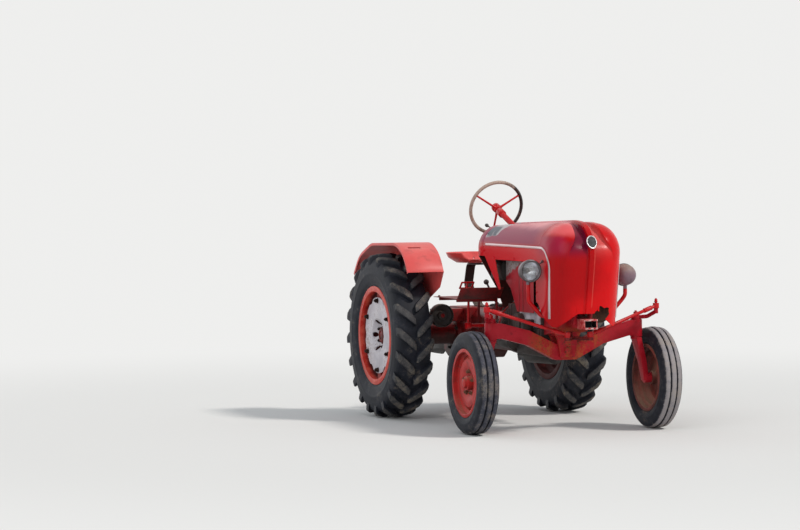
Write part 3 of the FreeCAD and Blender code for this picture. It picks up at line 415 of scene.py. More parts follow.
def run_tree(name, mesh, made_tree, **values):
    """A mesh run through a node tree with its named inputs, as a plain piece."""
    tree, keys = made_tree
    piece = add_object(name + "_start", mesh)
    maker = piece.modifiers.new("nodes", "NODES")
    maker.node_group = tree
    for key, value in values.items():
        maker[keys[key.replace("_", " ")]] = value
    return plain_mesh(piece, name)


def around(name, mesh, centre, axis, count, material, start=0.0, sweep=2 * math.pi):
    """count copies of a mesh, drawn about the origin, set round an axis through a centre."""
    return run_tree(name, mesh, round_tree, Count=count, Start=start, Sweep=sweep, Axis=axis, Centre=centre,
                    Material=material)


def join(name, pieces):
    """Several objects' meshes as one object."""
    bm = bmesh.new()
    for piece in pieces:
        bm.from_mesh(piece.data)
        bpy.data.objects.remove(piece)
    mesh = bpy.data.meshes.new(name)
    bm.to_mesh(mesh)
    bm.free()
    return add_object(name, mesh)


def rubber(name, worn_tread_tone, gain):
    """Old rubber: blue-black, browned by dust in patches and hollows, and in the worn tread tone where the
    mark worn is.
    """
    finish = Finish(name)
    worn = finish.mark("worn")
    cloud, patch, grain = finish.noise(5, 4, 1), finish.noise(26, 5, 6), finish.noise(130, 4, 2)
    finish.base = finish.mix(rubber_colour, rubber_faded, (cloud * 0.6 + patch * 0.4).step(0.38, 0.66))
    scuffed = (worn * gain + patch * 0.6 + grain * 0.35).step(0.72, 1.15)
    finish.coat(worn_tread_tone, scuffed)
    dusty = (cloud * 0.7 + patch * 0.5 + grain * 0.4 + worn * 0.10).step(0.84, 1.12)
    finish.coat(dust_colour, dusty * 0.42)
    height = grain * 0.5 + finish.noise(500, 2, 3) * 0.3
    return finish.surface(Roughness=scuffed * 0.15 + dusty * 0.15 + cloud * 0.08 + 0.58,
                          Specular_IOR_Level=0.24,
                          Normal=finish.bump(height, 0.0012, 0.6))


rubber_finish = rubber("rubber", rubber_worn, 0.55)


def tyre_crown(y):
    """The carcass's radius at a distance from the tread's middle."""
    return rear_radius - lug_height - 0.018 * (abs(y) / tread_half) ** 2.6


def lug_mesh(side):
    """One lug as a ribbed bar along its slant: a broad foot, leaning flanks and a worn, rounded top."""
    stations = 9
    half = ((0.54, 0.0), (0.50, 0.42), (0.455, 0.86), (0.41, 0.97), (0.2, 1.0))
    profile = [(-across, rise) for across, rise in half] + list(reversed(half))
    vertices, worn = [], []
    for i in range(stations):
        t = i / (stations - 1)
        y = 0.004 + t * (tread_half + 0.004)
        lead = (0.5 - t) * (tread_half + 0.008) * math.tan(lug_slant)
        width = (lug_foot + 0.006 * t) / math.cos(lug_slant)
        end = 0.72 if i in (0, stations - 1) else 1.0
        drop = 0.020 if i == stations - 1 else 0.0
        foot = tyre_crown(y) - 0.012 - 0.030 * max(0, t - 0.72) / 0.28
        top = rear_radius - 0.001 - 0.017 * max(0, t - 0.35) / 0.65 - drop * 0.45 - (0.006 if i == 0 else 0)
        for across, rise in profile:
            low = rise == 0.0
            angle = (lead + across * width * (1.0 if low else 0.92) * end) / rear_radius
            radius = foot + (top - foot) * rise
            vertices.append((radius * math.sin(angle), side * (y - (0.006 if low else 0)),
                             radius * math.cos(angle)))
            worn.append(max(0.0, rise - 0.8) * 5)
    n = len(profile)
    faces = between_rings(stations, n, open_sides=True) + end_faces(stations, n)
    return make_mesh("lug", vertices, faces, 50, worn=worn)


def rear_tyre(side, word):
    """The carcass with its wall rings, and both rows of lugs."""
    half = wall_rings + [(tyre_crown(y), y) for y in (0.112, 0.100, 0.085, 0.065, 0.045, 0.022)]
    profile = half + [(r, -y) for r, y in reversed(half)]
    centre = Vector((rear_wheel.x, side * rear_wheel.y, rear_wheel.z))
    carcass = add_object("carcass", make_mesh("carcass", *lathe(profile, centre, segments=128), sharp=60))
    pitch = 2 * math.pi / lug_count
    rows = [around("lugs", lug_mesh(row), centre, (0, 1, 0), lug_count, rubber_finish, start)
            for row, start in ((-1, 0.0), (1, pitch / 2))]
    tyre = join(f"rear_tyre_{word}_rubber", [carcass] + rows)
    dress(tyre, rubber_finish, f"rear_wheel_{word}", "tyre", f"rear_tyre_{word}")


for side, word in both_sides:
    rear_tyre(side, word)

# Front tyres
# Ribbed steering tyres: three ribs round the tread, the middle one highest, pale with wear on top.

front_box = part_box("front_tyre_left")
front_wheel = (front_box[0] + front_box[1]) / 2
front_radius = (front_box[1].z - front_box[0].z) / 2
front_wall = [(0.2032, 0.0535), (0.2150, 0.0538), (0.2208, 0.0540), (0.2225, 0.0575), (0.2270, 0.0605),
              (0.2340, 0.0640), (0.2480, 0.0682), (0.2560, 0.0695), (0.2585, 0.0700), (0.2660, 0.0700),
              (0.2690, 0.0692), (0.2820, 0.0682), (0.2950, 0.0665), (0.3040, 0.0640)]  # radius, half width
front_tread = ((0.0165, 0.0585, 0.3), (0.0070, 0.0500, 1), (0.0048, 0.0400, 1), (0.0042, 0.0300, 1),
               (0.0060, 0.0255, 0.6), (0.0150, 0.0240, 0), (0.0158, 0.0215, 0), (0.0150, 0.0190, 0),
               (0.0040, 0.0165, 0.6), (0.0008, 0.0120, 1), (0.0, 0.0050, 1))  # depth, half width, wear
# The left tyre's worn tread tone is pale with wear and painted sunlight; the right one's is dark and blue
# with painted shade.
front_rubber = {1: rubber("front rubber left", (0.27, 0.25, 0.26), 0.66),
                -1: rubber("front rubber right", (0.060, 0.063, 0.085), 0.55)}


def front_tyre(side, word):
    half = [(r, y, 0) for r, y in front_wall]
    half += [(front_radius - depth, y, wear) for depth, y, wear in front_tread]
    whole = half + [(r, -y, wear) for r, y, wear in reversed(half)]
    centre = Vector((front_wheel.x, side * front_wheel.y, front_wheel.z))
    segments = 112
    vertices, faces = lathe([(r, y) for r, y, _ in whole], centre, segments=segments)
    mesh = make_mesh("front tyre", vertices, faces, 50, worn=[wear for _, _, wear in whole] * segments)
    dress(add_object(f"front_tyre_{word}_rubber", mesh), front_rubber[side], f"front_wheel_{word}", "tyre",
          f"front_tyre_{word}")


for side, word in both_sides:
    front_tyre(side, word)

# Wheels, axles, castings and sheet work from the frame
# Each CAD node keeps its shape: its triangles are joined, its edges are rounded by a millimetre or two, and
# the rounded strips carry the mark worn, where the paint has gone.

rust_colour = (0.16, 0.062, 0.028)
steel_colour = (0.30, 0.29, 0.28)
oil_colour = (0.020, 0.015, 0.012)
pocket_half = 0.0384
pocket_wall = 0.012
guide_seams = (0.5235, 0.5885)
seam_half = 0.0032
strip_x = 1.19
strip_z = 1.18


def refined(node, name, bevel, sharp=32.0):
    """A copy of a node's mesh, joined up and with its edges rounded and marked."""
    mesh = nodes[node].data.copy()
    bm = bmesh.new()
    bm.from_mesh(mesh)
    bmesh.ops.remove_doubles(bm, verts=bm.verts, dist=2e-5)
    bmesh.ops.dissolve_limit(bm, angle_limit=math.radians(0.6), verts=bm.verts, edges=bm.edges)
    bm.to_mesh(mesh)
    bm.free()
    mesh.materials.clear()
    for _ in range(2):
        mesh.materials.append(None)
    for face in mesh.polygons:
        face.material_index = 0
    piece = add_object(name + "_work", mesh)
    edges = piece.modifiers.new("rounded edges", "BEVEL")
    edges.width = bevel
    edges.segments = 2
    edges.limit_method = "ANGLE"
    edges.angle_limit = math.radians(sharp)
    edges.material = 1
    edges.miter_outer = "MITER_ARC"
    piece = plain_mesh(piece, name)
    mark_faces(piece, "worn", lambda face: face.material_index == 1)
    shade(piece.data, sharp)
    return piece


def mark_faces(piece, name, held):
    """Marks a piece's faces with 1 where a test holds and 0 elsewhere."""
    mark = piece.data.attributes.new(name, "FLOAT", "FACE")
    mark.data.foreach_set("value", [float(held(face)) for face in piece.data.polygons])


def worn_paint(name, colour, faded, chips, dust, grime, rough, dents, seed):
    """Old gloss paint: faded in clouds, chipped to rust on edges, dusty on top and oily below."""
    finish = Finish(name)
    up = finish.up()
    cloud, patch = finish.noise(3.0, 4, seed), finish.noise(17, 5, seed + 3)
    fine, speck = finish.noise(75, 5, seed + 5), finish.noise(260, 3, seed + 7)
    finish.base = finish.mix(colour, faded, (cloud * 0.6 + up * 0.20 + patch * 0.30).step(0.50, 0.95) * 0.8)
    finish.coat(tuple(0.50 * c for c in colour), patch.step(0.50, 0.74) * 0.5)
    low = finish.part(finish.place, 2).step(0.95, 0.35)
    soil = (low * 0.30 + patch * 0.6 + fine * 0.35 - up * 0.3 + grime * 0.8).step(0.80, 1.25)
    finish.coat(oil_colour, soil * min(1.0, 0.60 + grime * 0.5))
    worn = finish.mark("worn")
    chip = (fine * 0.62 + speck * 0.3 + worn * 0.16 + patch * 0.22 + chips * 0.3).step(0.80, 0.84)
    bare = finish.mix(rust_colour, steel_colour, speck.step(0.5, 0.65) * 0.5)
    finish.coat(bare, chip)
    powder = (up * 0.7 + cloud * 0.5 + fine * 0.45 + dust).step(1.15, 2.0)
    finish.coat(dust_colour, powder * 0.55)
    gloss = chip * 0.4 + powder * 0.4 + soil * 0.12 + cloud * 0.12 + (rough - 0.06)
    height = speck * 0.08 - chip * 0.5 + fine * 0.12 + patch * dents
    return finish.surface(Roughness=gloss, Metallic=chip * 0.3, Specular_IOR_Level=0.24,
                          Normal=finish.bump(height, 0.0012, 0.55))


def cast_iron(name, colour, oily, seed):
    """Rough castings under old oil, soot and flaked red paint."""
    finish = Finish(name)
    up = finish.up()
    patch, fine = finish.noise(11, 5, seed), finish.noise(60, 5, seed + 2)
    speck = finish.noise(330, 3, seed + 4)
    finish.base = finish.mix(colour, rust_colour, (patch * 0.7 + fine * 0.5).step(0.62, 0.85) * 0.7)
    finish.coat(oil_colour, (patch * 0.4 + fine * 0.4 - up * 0.25 + oily * 0.6).step(0.45, 0.75) * 0.85)
    powder = (up * 0.8 + fine * 0.5).step(0.75, 1.35)
    finish.coat(dust_colour, powder * 0.55)
    finish.coat(steel_colour, (finish.mark("worn") * 0.3 + speck * 0.6).step(0.62, 0.75) * 0.6)
    return finish.surface(Roughness=0.48 + powder * 0.4 + patch * 0.15, Metallic=0.15,
                          Normal=finish.bump(fine * 0.5 + speck * 0.4, 0.0016, 0.7))


def bare_metal(name, colour, rough, rusty, seed):
    """Machined or drawn steel, handled bright in places and rusted in others."""
    finish = Finish(name)
    patch, fine = finish.noise(24, 5, seed), finish.noise(180, 4, seed + 2)
    rusted = (patch * 0.7 + fine * 0.4 + rusty * 0.4 - finish.mark("worn") * 0.1).step(0.62, 0.8)
    finish.base = finish.mix(colour, rust_colour, rusted * 0.85)
    return finish.surface(Roughness=rusted * 0.35 + patch * 0.15 + rough, Metallic=1 - rusted * 0.75,
                          Normal=finish.bump(fine * 0.4 + rusted * 0.4, 0.0008, 0.6))


def rim_paint():
    """Orange-red flanges; the well, the hub and all that lies behind the disc are dark with painted shade."""
    finish = Finish("rear rim red")
    y = finish.part(finish.place, 1).size()
    patch, fine, speck = finish.noise(15, 5, 61), finish.noise(70, 5, 62), finish.noise(220, 3, 63)
    finish.base = finish.mix((0.48, 0.020, 0.012), (0.58, 0.075, 0.045),
                             (patch * 0.7 + fine * 0.3).step(0.40, 0.62))
    # deep: painted shade over the well, the hub and all that lies behind the disc.
    deep = (y + (patch - 0.5) * 0.03).step(0.730, 0.688)
    finish.coat((0.035, 0.005, 0.006), deep * 0.93)
    chip = (fine * 0.55 + speck * 0.3 + finish.mark("worn") * 0.20 + patch * 0.2).step(0.74, 0.79)
    finish.coat(rust_colour, chip)
    return finish.surface(Roughness=deep * 0.25 + chip * 0.3 + patch * 0.1 + 0.34,
                          Specular_IOR_Level=0.24, Normal=finish.bump(fine * 0.3 - chip * 0.5, 0.0010, 0.5))


def axle_paint():
    """Crimson paint gone pink on top, faded and with a painted highlight; rust runs orange down the beam's
    middle and round the pivot.
    """
    finish = Finish("axle crimson")
    x, y, z = finish.axes()
    up = finish.up()
    cloud, patch = finish.noise(5, 4, 54), finish.noise(24, 5, 55)
    fine, speck = finish.noise(90, 5, 56), finish.noise(300, 3, 57)
    run = finish.noise(16, 4, 58, stretch=(1.0, 1.0, 0.15))
    finish.base = finish.mix((0.32, 0.003, 0.010), (0.42, 0.014, 0.026),
                             (cloud * 0.6 + patch * 0.4).step(0.38, 0.62))
    # Pink on the upward faces: faded paint, and a painted highlight.
    finish.coat((0.58, 0.16, 0.17), (up * 0.6 + patch * 0.5).step(0.72, 0.95) * 0.6)
    finish.coat((0.12, 0.003, 0.008), (patch * 0.6 + fine * 0.4).step(0.54, 0.68) * 0.5)
    middle = (0.30 - y.size()).step(-0.02, 0.14) * (0.70 - z).step(-0.02, 0.06)
    finish.coat((0.34, 0.085, 0.020), middle * (run * 0.6 + fine * 0.4).step(0.44, 0.60) * 0.8)
    soil = middle * (patch * 0.5 + fine * 0.5).step(0.52, 0.64)
    finish.coat(oil_colour, soil * 0.7)
    chip = (fine * 0.62 + speck * 0.3 + finish.mark("worn") * 0.20 + patch * 0.22).step(0.82, 0.86)
    finish.coat(finish.mix(rust_colour, (0.50, 0.42, 0.40), speck.step(0.5, 0.6)), chip)
    return finish.surface(Roughness=middle * 0.2 + chip * 0.3 + cloud * 0.1 + 0.30,
                          Specular_IOR_Level=0.16, Normal=finish.bump(fine * 0.3 - chip * 0.5, 0.0012, 0.5))


def pocket_paint():
    """The tow pocket: chipped pale along its edges and black inside with painted shade."""
    finish = Finish("tow pocket")
    x, y, z = finish.axes()
    patch, fine = finish.noise(40, 5, 221), finish.noise(160, 4, 222)
    low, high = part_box("tow_clevis")
    finish.base = finish.mix((0.36, 0.010, 0.014), (0.55, 0.10, 0.09), patch.step(0.4, 0.62))
    # inside: painted shade, black, in the pocket's hollow.
    inside = (pocket_half - y.size()).step(0.0, 0.0003) * (z - low.z - pocket_wall).step(-0.002, 0.0)
    inside = inside * (high.z - pocket_wall - z).step(-0.002, 0.0)
    finish.coat((0.010, 0.007, 0.008), inside)
    edge = (x - high.x + 0.008).step(-0.004, 0.004) * (fine * 0.6 + patch * 0.5).step(0.50, 0.62)
    rubbed = (edge + finish.mark("worn") * patch.step(0.42, 0.60)).step(0.0, 1.0)
    finish.coat((0.55, 0.42, 0.40), rubbed * 0.8)
    return finish.surface(Roughness=patch * 0.2 + 0.40, Specular_IOR_Level=0.24,
                          Normal=finish.bump(fine * 0.4 + patch * 0.3, 0.0012, 0.6))


def guide_sheet():
    """Thin dull red sheet, burnt grey at its upper rear corner and black inside with soot and painted shade.
    """
    finish = Finish("guide sheet")
    x, y, z = finish.axes()
    cloud, patch, fine = finish.noise(4, 4, 81), finish.noise(22, 5, 82), finish.noise(90, 4, 83)
    finish.base = finish.mix((0.34, 0.005, 0.014), (0.38, 0.030, 0.040),
                             (cloud * 0.6 + patch * 0.4).step(0.42, 0.62) * 0.7)
    finish.coat((0.10, 0.006, 0.008), (patch * 0.7 + fine * 0.3).step(0.54, 0.68) * 0.5)
    burnt = ((z - 1.035) * 3.0 + (0.46 - x) * 1.1 + patch * 0.22 + fine * 0.06 - 0.14).step(0.0, 0.05)
    finish.coat((0.36, 0.33, 0.33), burnt * 0.9)
    finish.coat(rust_colour, burnt * (fine * 0.6 + patch * 0.4).step(0.50, 0.60) * 0.7)
    seams = [(seam_half - (x - seam).size()).step(-0.0015, 0.0015) for seam in guide_seams]
    finish.coat(oil_colour, seams[0] + seams[1])
    low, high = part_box("air_guide")
    # inside: black, partly soot and partly painted shade.
    inside = (high.y - 0.0008 - y.size()).step(0.0, 0.0004) * (high.z - 0.0012 - z).step(0.0, 0.0004)
    finish.coat((0.012, 0.009, 0.009), inside)
    chip = (fine * 0.7 + finish.mark("worn") * 0.25).step(0.62, 0.66)
    finish.coat(rust_colour, chip)
    return finish.surface(Roughness=burnt * 0.3 + patch * 0.15 + 0.40, Specular_IOR_Level=0.24,
                          Normal=finish.bump(fine * 0.3 + patch * 0.3, 0.0010, 0.5))


def white_disc():
    """Off-white wheel paint, dirty in the dish, with rust spots and streaks round the holes."""
    finish = Finish("disc white")
    patch, fine, speck = finish.noise(9, 5, 21), finish.noise(48, 5, 22), finish.noise(140, 4, 23)
    finish.base = finish.mix((0.44, 0.415, 0.45), (0.60, 0.57, 0.60), patch.step(0.35, 0.65))
    finish.coat((0.26, 0.21, 0.19), (patch * 0.5 + fine * 0.6).step(0.56, 0.75) * 0.6)
    spots = (speck * 0.70 + patch * 0.35 + finish.mark("worn") * 0.2).step(0.62, 0.655)
    finish.coat(rust_colour, spots)
    return finish.surface(Roughness=0.55 + spots * 0.3 + fine * 0.1,
                          Normal=finish.bump(fine * 0.3 - spots * 0.5, 0.0010, 0.6))


def bonnet_paint():
    """The bonnet's red: deep on the nose, mauve on the shoulder, bright under the strip, bare at the rear,
    with painted sunlight, highlights and shade laid over it.
    """
    finish = Finish("bonnet red")
    x, y, z = finish.axes()
    up = finish.up()
    cloud, patch = finish.noise(2.6, 4, 1), finish.noise(13, 5, 2)
    fine, speck = finish.noise(80, 5, 3), finish.noise(300, 3, 4)
    streak = finish.noise(9, 4, 5, stretch=(1.0, 1.0, 0.12))
    # The red grows paler towards the left (+Y) side, the sun lamp's side: painted sunlight, over random
    # fading.
    finish.base = finish.mix((0.40, 0.001, 0.003), (0.66, 0.004, 0.006),
                      (cloud * 0.7 + (y + 0.06) * 1.1 + (0.85 - z) * 0.25).step(0.30, 0.56))
    # The flat sides under the strip
    under = (strip_z - z).step(-0.01, 0.01) * (strip_x - x).step(-0.02, 0.02) * y.size().step(0.236, 0.243)
    finish.coat((0.58, 0.010, 0.018), under * 0.8)
    # The shoulders in mauve, partly faded paint and partly painted skylight shade, with painted highlights
    # paler still along the crown and on the brow
    shoulder = (z - 1.19).step(0.0, 0.03) * (1.10 - x).step(-0.05, 0.20) * (x + 0.02).step(-0.01, 0.02)
    finish.coat((0.22, 0.014, 0.070), shoulder * (cloud * 0.5 + 0.50))
    crown = shoulder * (z + cloud * 0.05 + patch * 0.02).step(1.325, 1.380)
    finish.coat((0.84, 0.32, 0.33), crown * 0.85)
    brow_highlight = (x - 1.06).step(0.0, 0.12) * (z - 1.262 + patch * 0.03).step(0.0, 0.05)
    brow_highlight = brow_highlight * (-0.045 - y).step(0.0, 0.03)
    finish.coat((0.86, 0.16, 0.17), brow_highlight * 0.62)
    finish.coat((0.20, 0.002, 0.005), (streak * 0.8 + patch * 0.3).step(0.64, 0.80) * 0.35)
    # Painted shade on the right cheek's corner, and on the nose below the right scoop
    corner = (-0.150 - y).step(-0.02, 0.05) * (z - 1.14).step(-0.03, 0.05) * (x - 1.00).step(-0.05, 0.12)
    corner = corner * (1.270 - z + patch * 0.02).step(0.0, 0.03)
    finish.coat((0.34, 0.012, 0.050), corner * 0.75)
    below = (-0.016 - y).step(0.0, 0.012) * (y + 0.190).step(0.0, 0.06) * (x - 1.20).step(0.0, 0.05)
    below = below * (z - 1.10).step(0.0, 0.09) * (1.262 - z + (y + 0.10) * 0.35).step(0.0, 0.03)
    finish.coat((0.20, 0.004, 0.022), below * (cloud * 0.4 + 0.4))
    # A painted highlight down the spine's left side, and in the scoops painted shadow on the right one and
    # painted sunlight on the left one
    ridge = (0.0035 - (y - 0.0235).size()).step(-0.002, 0.001) * (1.19 - z).step(0.0, 0.03)
    ridge = ridge * (z - 0.80).step(0.0, 0.03) * (x - 1.1).step(0.0, 0.01)
    finish.coat((0.72, 0.085, 0.065), ridge * (patch * 0.8 + 0.3) * 0.8)
    hollow = finish.mark("hollow")
    finish.coat((0.13, 0.004, 0.028), hollow.step(0.0, 0.6) * (cloud * 0.5 + 0.6) * y.step(0.02, -0.02))
    finish.coat((0.72, 0.16, 0.15), hollow * (cloud * 0.4 + 0.4) * y.step(-0.02, 0.02))
    # Primer and bare metal on the right, at the rear end
    edge = patch * 0.10 + fine * 0.03 - 0.06
    primer = (0.275 - x + (z - 1.25) * 0.7 + edge).step(0.0, 0.012) * (x - 0.066).step(-0.001, 0.001)
    primer = primer * (z - 1.226 - x * 0.10 + edge * 0.4).step(0.0, 0.010)
    primer = primer * (edge * 2.0 - y - 0.045).step(-0.01, 0.01)
    finish.coat((0.50, 0.45, 0.46), primer)
    metal = (0.235 - x + edge * 1.6).step(0.0, 0.02) * (z - 1.247 + edge).step(0.0, 0.008)
    metal = metal * (1.312 - z).step(0.0, 0.01) * (patch + fine * 0.4).step(0.50, 0.66)
    finish.coat((0.17, 0.18, 0.20), metal * primer)
    # Chips, dust, and painted shade on the inner faces
    worn = finish.mark("worn")
    chip = (fine * 0.62 + speck * 0.3 + worn * 0.22 + patch * 0.2).step(0.85, 0.88)
    chip = chip.most(worn * (patch * 0.6 + fine * 0.6).step(0.55, 0.62))
    finish.coat(rust_colour, chip)
    powder = (up * 0.7 + cloud * 0.4 + fine * 0.4).step(1.05, 1.7)
    finish.coat(dust_colour, powder * 0.12)
    finish.coat((0.030, 0.016, 0.014), finish.mark("inner") * (patch * 0.3 + 0.8))
    gloss = shoulder * 0.10 + powder * 0.15 + chip * 0.4 + primer * 0.3 + cloud * 0.10 + 0.20
    height = speck * 0.05 - chip * 0.5 + cloud * 1.6 + patch * 0.25 - primer * 0.2
    return finish.surface(Roughness=gloss, Specular_IOR_Level=0.14,
                          Normal=finish.bump(height, 0.0020, 0.35))


finishes = {  # worn_paint takes: name, colour, faded, chips, dust, grime, rough, dents, seed
    "chassis_red": worn_paint("chassis red", (0.24, 0.008, 0.010), (0.30, 0.030, 0.028), 0.10, 0.20, 0.50,
                              0.40, 0.0, 31),
    "guard_red": worn_paint("guard red", (0.64, 0.085, 0.080), (0.84, 0.220, 0.205), 0.0, 0.15, 0.02, 0.38,
                            0.25, 41),
    "axle_red": worn_paint("axle red", (0.48, 0.006, 0.009), (0.52, 0.045, 0.045), 0.16, 0.15, 0.18, 0.32,
                           0.0, 51),
    "rim_red": rim_paint(),
    "axle_crimson": axle_paint(),
    "tow_pocket": pocket_paint(),
    "front_rim": worn_paint("front rim red", (0.42, 0.014, 0.012), (0.36, 0.09, 0.06), 0.16, 0.45, 0.15,
                            0.45, 0.0, 71),
    "dusty_rim": worn_paint("dusty rim", (0.22, 0.040, 0.030), (0.30, 0.17, 0.13), 0.16, 0.75, 0.30, 0.5,
                            0.0, 76),
    "sheet_red": guide_sheet(),
    "bonnet_red": bonnet_paint(),
    "disc_white": white_disc(),
    "engine": cast_iron("engine iron", (0.060, 0.022, 0.022), 0.45, 91),
    "steel": bare_metal("worn steel", (0.36, 0.35, 0.34), 0.38, 0.35, 101),
    "dark_steel": cast_iron("dark steel", (0.040, 0.036, 0.036), 0.3, 111),
    "trim_metal": bare_metal("trim metal", (0.60, 0.50, 0.515), 0.34, -0.1, 123),
    "lamp_shell": bare_metal("lamp shell", (0.18, 0.15, 0.175), 0.34, 0.15, 124),
    "soot_black": cast_iron("soot black", (0.012, 0.010, 0.010), 0.5, 125),
    "chrome": bare_metal("dull chrome", (0.74, 0.74, 0.75), 0.26, -0.25, 121),
    "lamp_brown": worn_paint("lamp brown", (0.20, 0.130, 0.160), (0.42, 0.31, 0.36), 0.10, 0.75, 0.0, 0.30,
                             0.0, 131),
    "wheel_rim": worn_paint("wheel rim cream", (0.46, 0.34, 0.24), (0.60, 0.48, 0.36), 0.05, 0.2, 0.1,
                            0.35, 0.0, 141),
}

refine_table = (  # node, finish and slot, bevel, whether there is a left and a right one
    ("rear_rim", "rim_red", 0.0012, True), ("rear_disc", "disc_white", 0.0014, True),
    ("rear_hub", "rim_red", 0.0016, True), ("front_rim", "front_rim", 0.0010, True),
    ("rear_axle_case", "chassis_red", 0.0040, False), ("gearbox_tunnel", "chassis_red", 0.0040, False),
    ("hitch_frame", "dark_steel", 0.0015, False), ("tow_jaw", "dark_steel", 0.0020, False),
    ("crankcase", "engine", 0.0030, False), ("cylinders", "engine", 0.0010, False),
    ("air_guide", "sheet_red", 0.0008, False), ("fan_housing", "engine", 0.0010, False),
    ("starter", "dark_steel", 0.0010, False), ("oil_filter", "engine", 0.0010, False),
    ("dynamo", "dark_steel", 0.0010, False),
    ("exhaust_pipe", "dark_steel", 0.0010, False), ("front_carrier", "axle_red", 0.0030, False),
    ("front_axle", "axle_red", 0.0030, False), ("tow_clevis", "axle_red", 0.0015, False),
    ("knuckle", "axle_red", 0.0020, True), ("tie_rod", "axle_red", 0.0010, True),
    ("steering_crank", "dark_steel", 0.0020, False), ("steering_column", "axle_red", 0.0010, False),
    ("steering_box", "chassis_red", 0.0025, False),
    ("hood_trim", "chrome", 0.0006, False), ("lamp_left", "lamp_brown", 0.0008, False),
    ("lamp_right", "chrome", 0.0008, False),
    ("lamp_arm", "axle_red", 0.0006, True), ("fuel_tank", "dark_steel", 0.0015, False),
    ("dash_cowl", "bonnet_red", 0.0008, False), ("mudguard", "guard_red", 0.0008, True),
    ("footplate", "chassis_red", 0.0008, True), ("pedals", "axle_red", 0.0010, False),
    ("gear_levers", "dark_steel", 0.0008, False), ("seat_pan", "guard_red", 0.0010, False),
    ("seat_spring", "dark_steel", 0.0008, False), ("pulley_drive", "chassis_red", 0.0020, False),
    ("side_pulley", "steel", 0.0010, False),
)
other_finish = {  # where the finish isn't the slot's own
    "front_rim_left": "dusty_rim", "front_axle": "axle_crimson", "front_carrier": "axle_crimson",
                "knuckle_left": "axle_crimson", "knuckle_right": "axle_crimson", "tow_clevis": "tow_pocket",
                "steering_crank": "chassis_red", "side_pulley": "dark_steel", "hood_trim": "trim_metal",
                "fuel_tank": "soot_black", "lamp_right": "lamp_shell"}
for stem, slot, bevel, paired in refine_table:
    for node in [f"{stem}_left", f"{stem}_right"] if paired else [stem]:
        finish = finishes[other_finish.get(node, slot)]
        piece = refined(node, node + "_finish", bevel)
        # The dash's forward face takes the mark inner, which the bonnet's paint darkens with painted shade.
        if node == "dash_cowl":
            mark_faces(piece, "inner", lambda face: face.normal.x > 0.5)
        dress(piece, finish, body_of[node], slot, node)

# Bonnet
# One pressed sheet, 4 mm thick, that tilts forward on a pin behind the nose's lower edge. A spine runs over
# its top and down the nose, with a scoop on each side of it, and the sides are open round the engine.

hood_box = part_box("hood")
hood_rear = hood_box[0].x
hood_half = hood_box[1].y
hood_sheet = 0.004
hood_round = 0.150
nose_low = Vector((1.235, 0, 0.640))
nose_top = Vector((1.349, 0, 1.240))
hood_brow = Vector((1.200, 0, 1.340))
hood_crown = Vector((1.065, 0, 1.351))
hood_back = Vector((hood_rear, 0, 1.318))
spine_half = 0.018
spine_rise = 0.012
scoop_line = [(nose_low.x + 0.008, nose_low.z), (nose_top.x - 0.010, nose_top.z - 0.090),
              (nose_top.x - 0.087, nose_top.z + 0.022), (hood_brow.x - 0.050, hood_brow.z - 0.018),
              (hood_crown.x - 0.035, hood_crown.z + 0.006), (hood_rear, hood_back.z + 0.044)]
scoop_corners = [0, 0.060, 0.150, 0.150, 0.100, 0]
scoop_middle = Vector((hood_brow.x + 0.050, 0, hood_brow.z - 0.060))
window_middle = (0.40, 0.95)
scoop_edge = ((-0.230, 0.055), (0.060, 0.095), (0.160, 0.165), (0.230, 0.165))
window = [(1.030, 0.832), (0.997, 0.848), (0.997, 1.095), (0.285, 1.095), (0.381, 0.905), (0.351, 0.897),
          (0.095, 1.113), (hood_rear, 1.113)]
chin = [(1.60, 0.50), (1.60, 0.690), (1.190, 0.690), (1.030, 0.832), (0.90, 0.9471), (0.90, 0.50)]
notch = [(-0.230, 0.600), (-0.188, 0.690), (-0.080, 0.766), (-0.066, 0.773), (0.066, 0.773), (0.080, 0.766),
         (0.188, 0.690), (0.230, 0.600)]
spine_points = (0, 0.008, 0.0140, 0.0158, 0.0176, 0.0194, 0.0212, 0.024)
scoop_points = (-0.008, -0.006, -0.003, 0.0, 0.003, 0.006, 0.012)
tear = [(0.040, 0.760), (0.052, 0.786), (0.066, 0.795), (0.071, 0.812), (0.086, 0.823), (0.101, 0.814),
        (0.112, 0.806), (0.131, 0.812), (0.148, 0.806), (0.146, 0.789), (0.153, 0.770), (0.141, 0.748),
        (0.112, 0.724)]


def smooth(t):
    t = min(1.0, max(0.0, t))
    return t * t * (3 - 2 * t)


scoop_floor = rounded([Vector((x, 0, z)) for x, z in scoop_line], scoop_corners, 3.0)


def scoop_depth(place, out):
    """How far the scoop's floor lies below a point of the centre line; none where it would stand out."""
    for start, end in zip(scoop_floor, scoop_floor[1:]):
        side = end - start
        across = side.x * out.z - side.z * out.x
        if abs(across) < 1e-9:
            continue
        gap = place - start
        depth = (gap.z * side.x - gap.x * side.z) / across
        share = (gap.x * out.z - gap.z * out.x) / across
        if -0.001 <= share <= 1.001 and abs(depth) < 0.08:
            return max(0.0, depth)
    return 0.0


def scoop_depths(way):
    """The depth at each point of the way, softened where the scoop runs out down the nose."""
    depths = [scoop_depth(place, out) for place, out in way]
    for _ in range(4):
        soft = list(depths)
        for i, (place, _) in enumerate(way):
            if place.x > hood_brow.x and place.z < 1.315:
                near = depths[max(0, i - 3):i + 4]
                soft[i] = sum(near) / len(near)
        depths = soft
    return depths


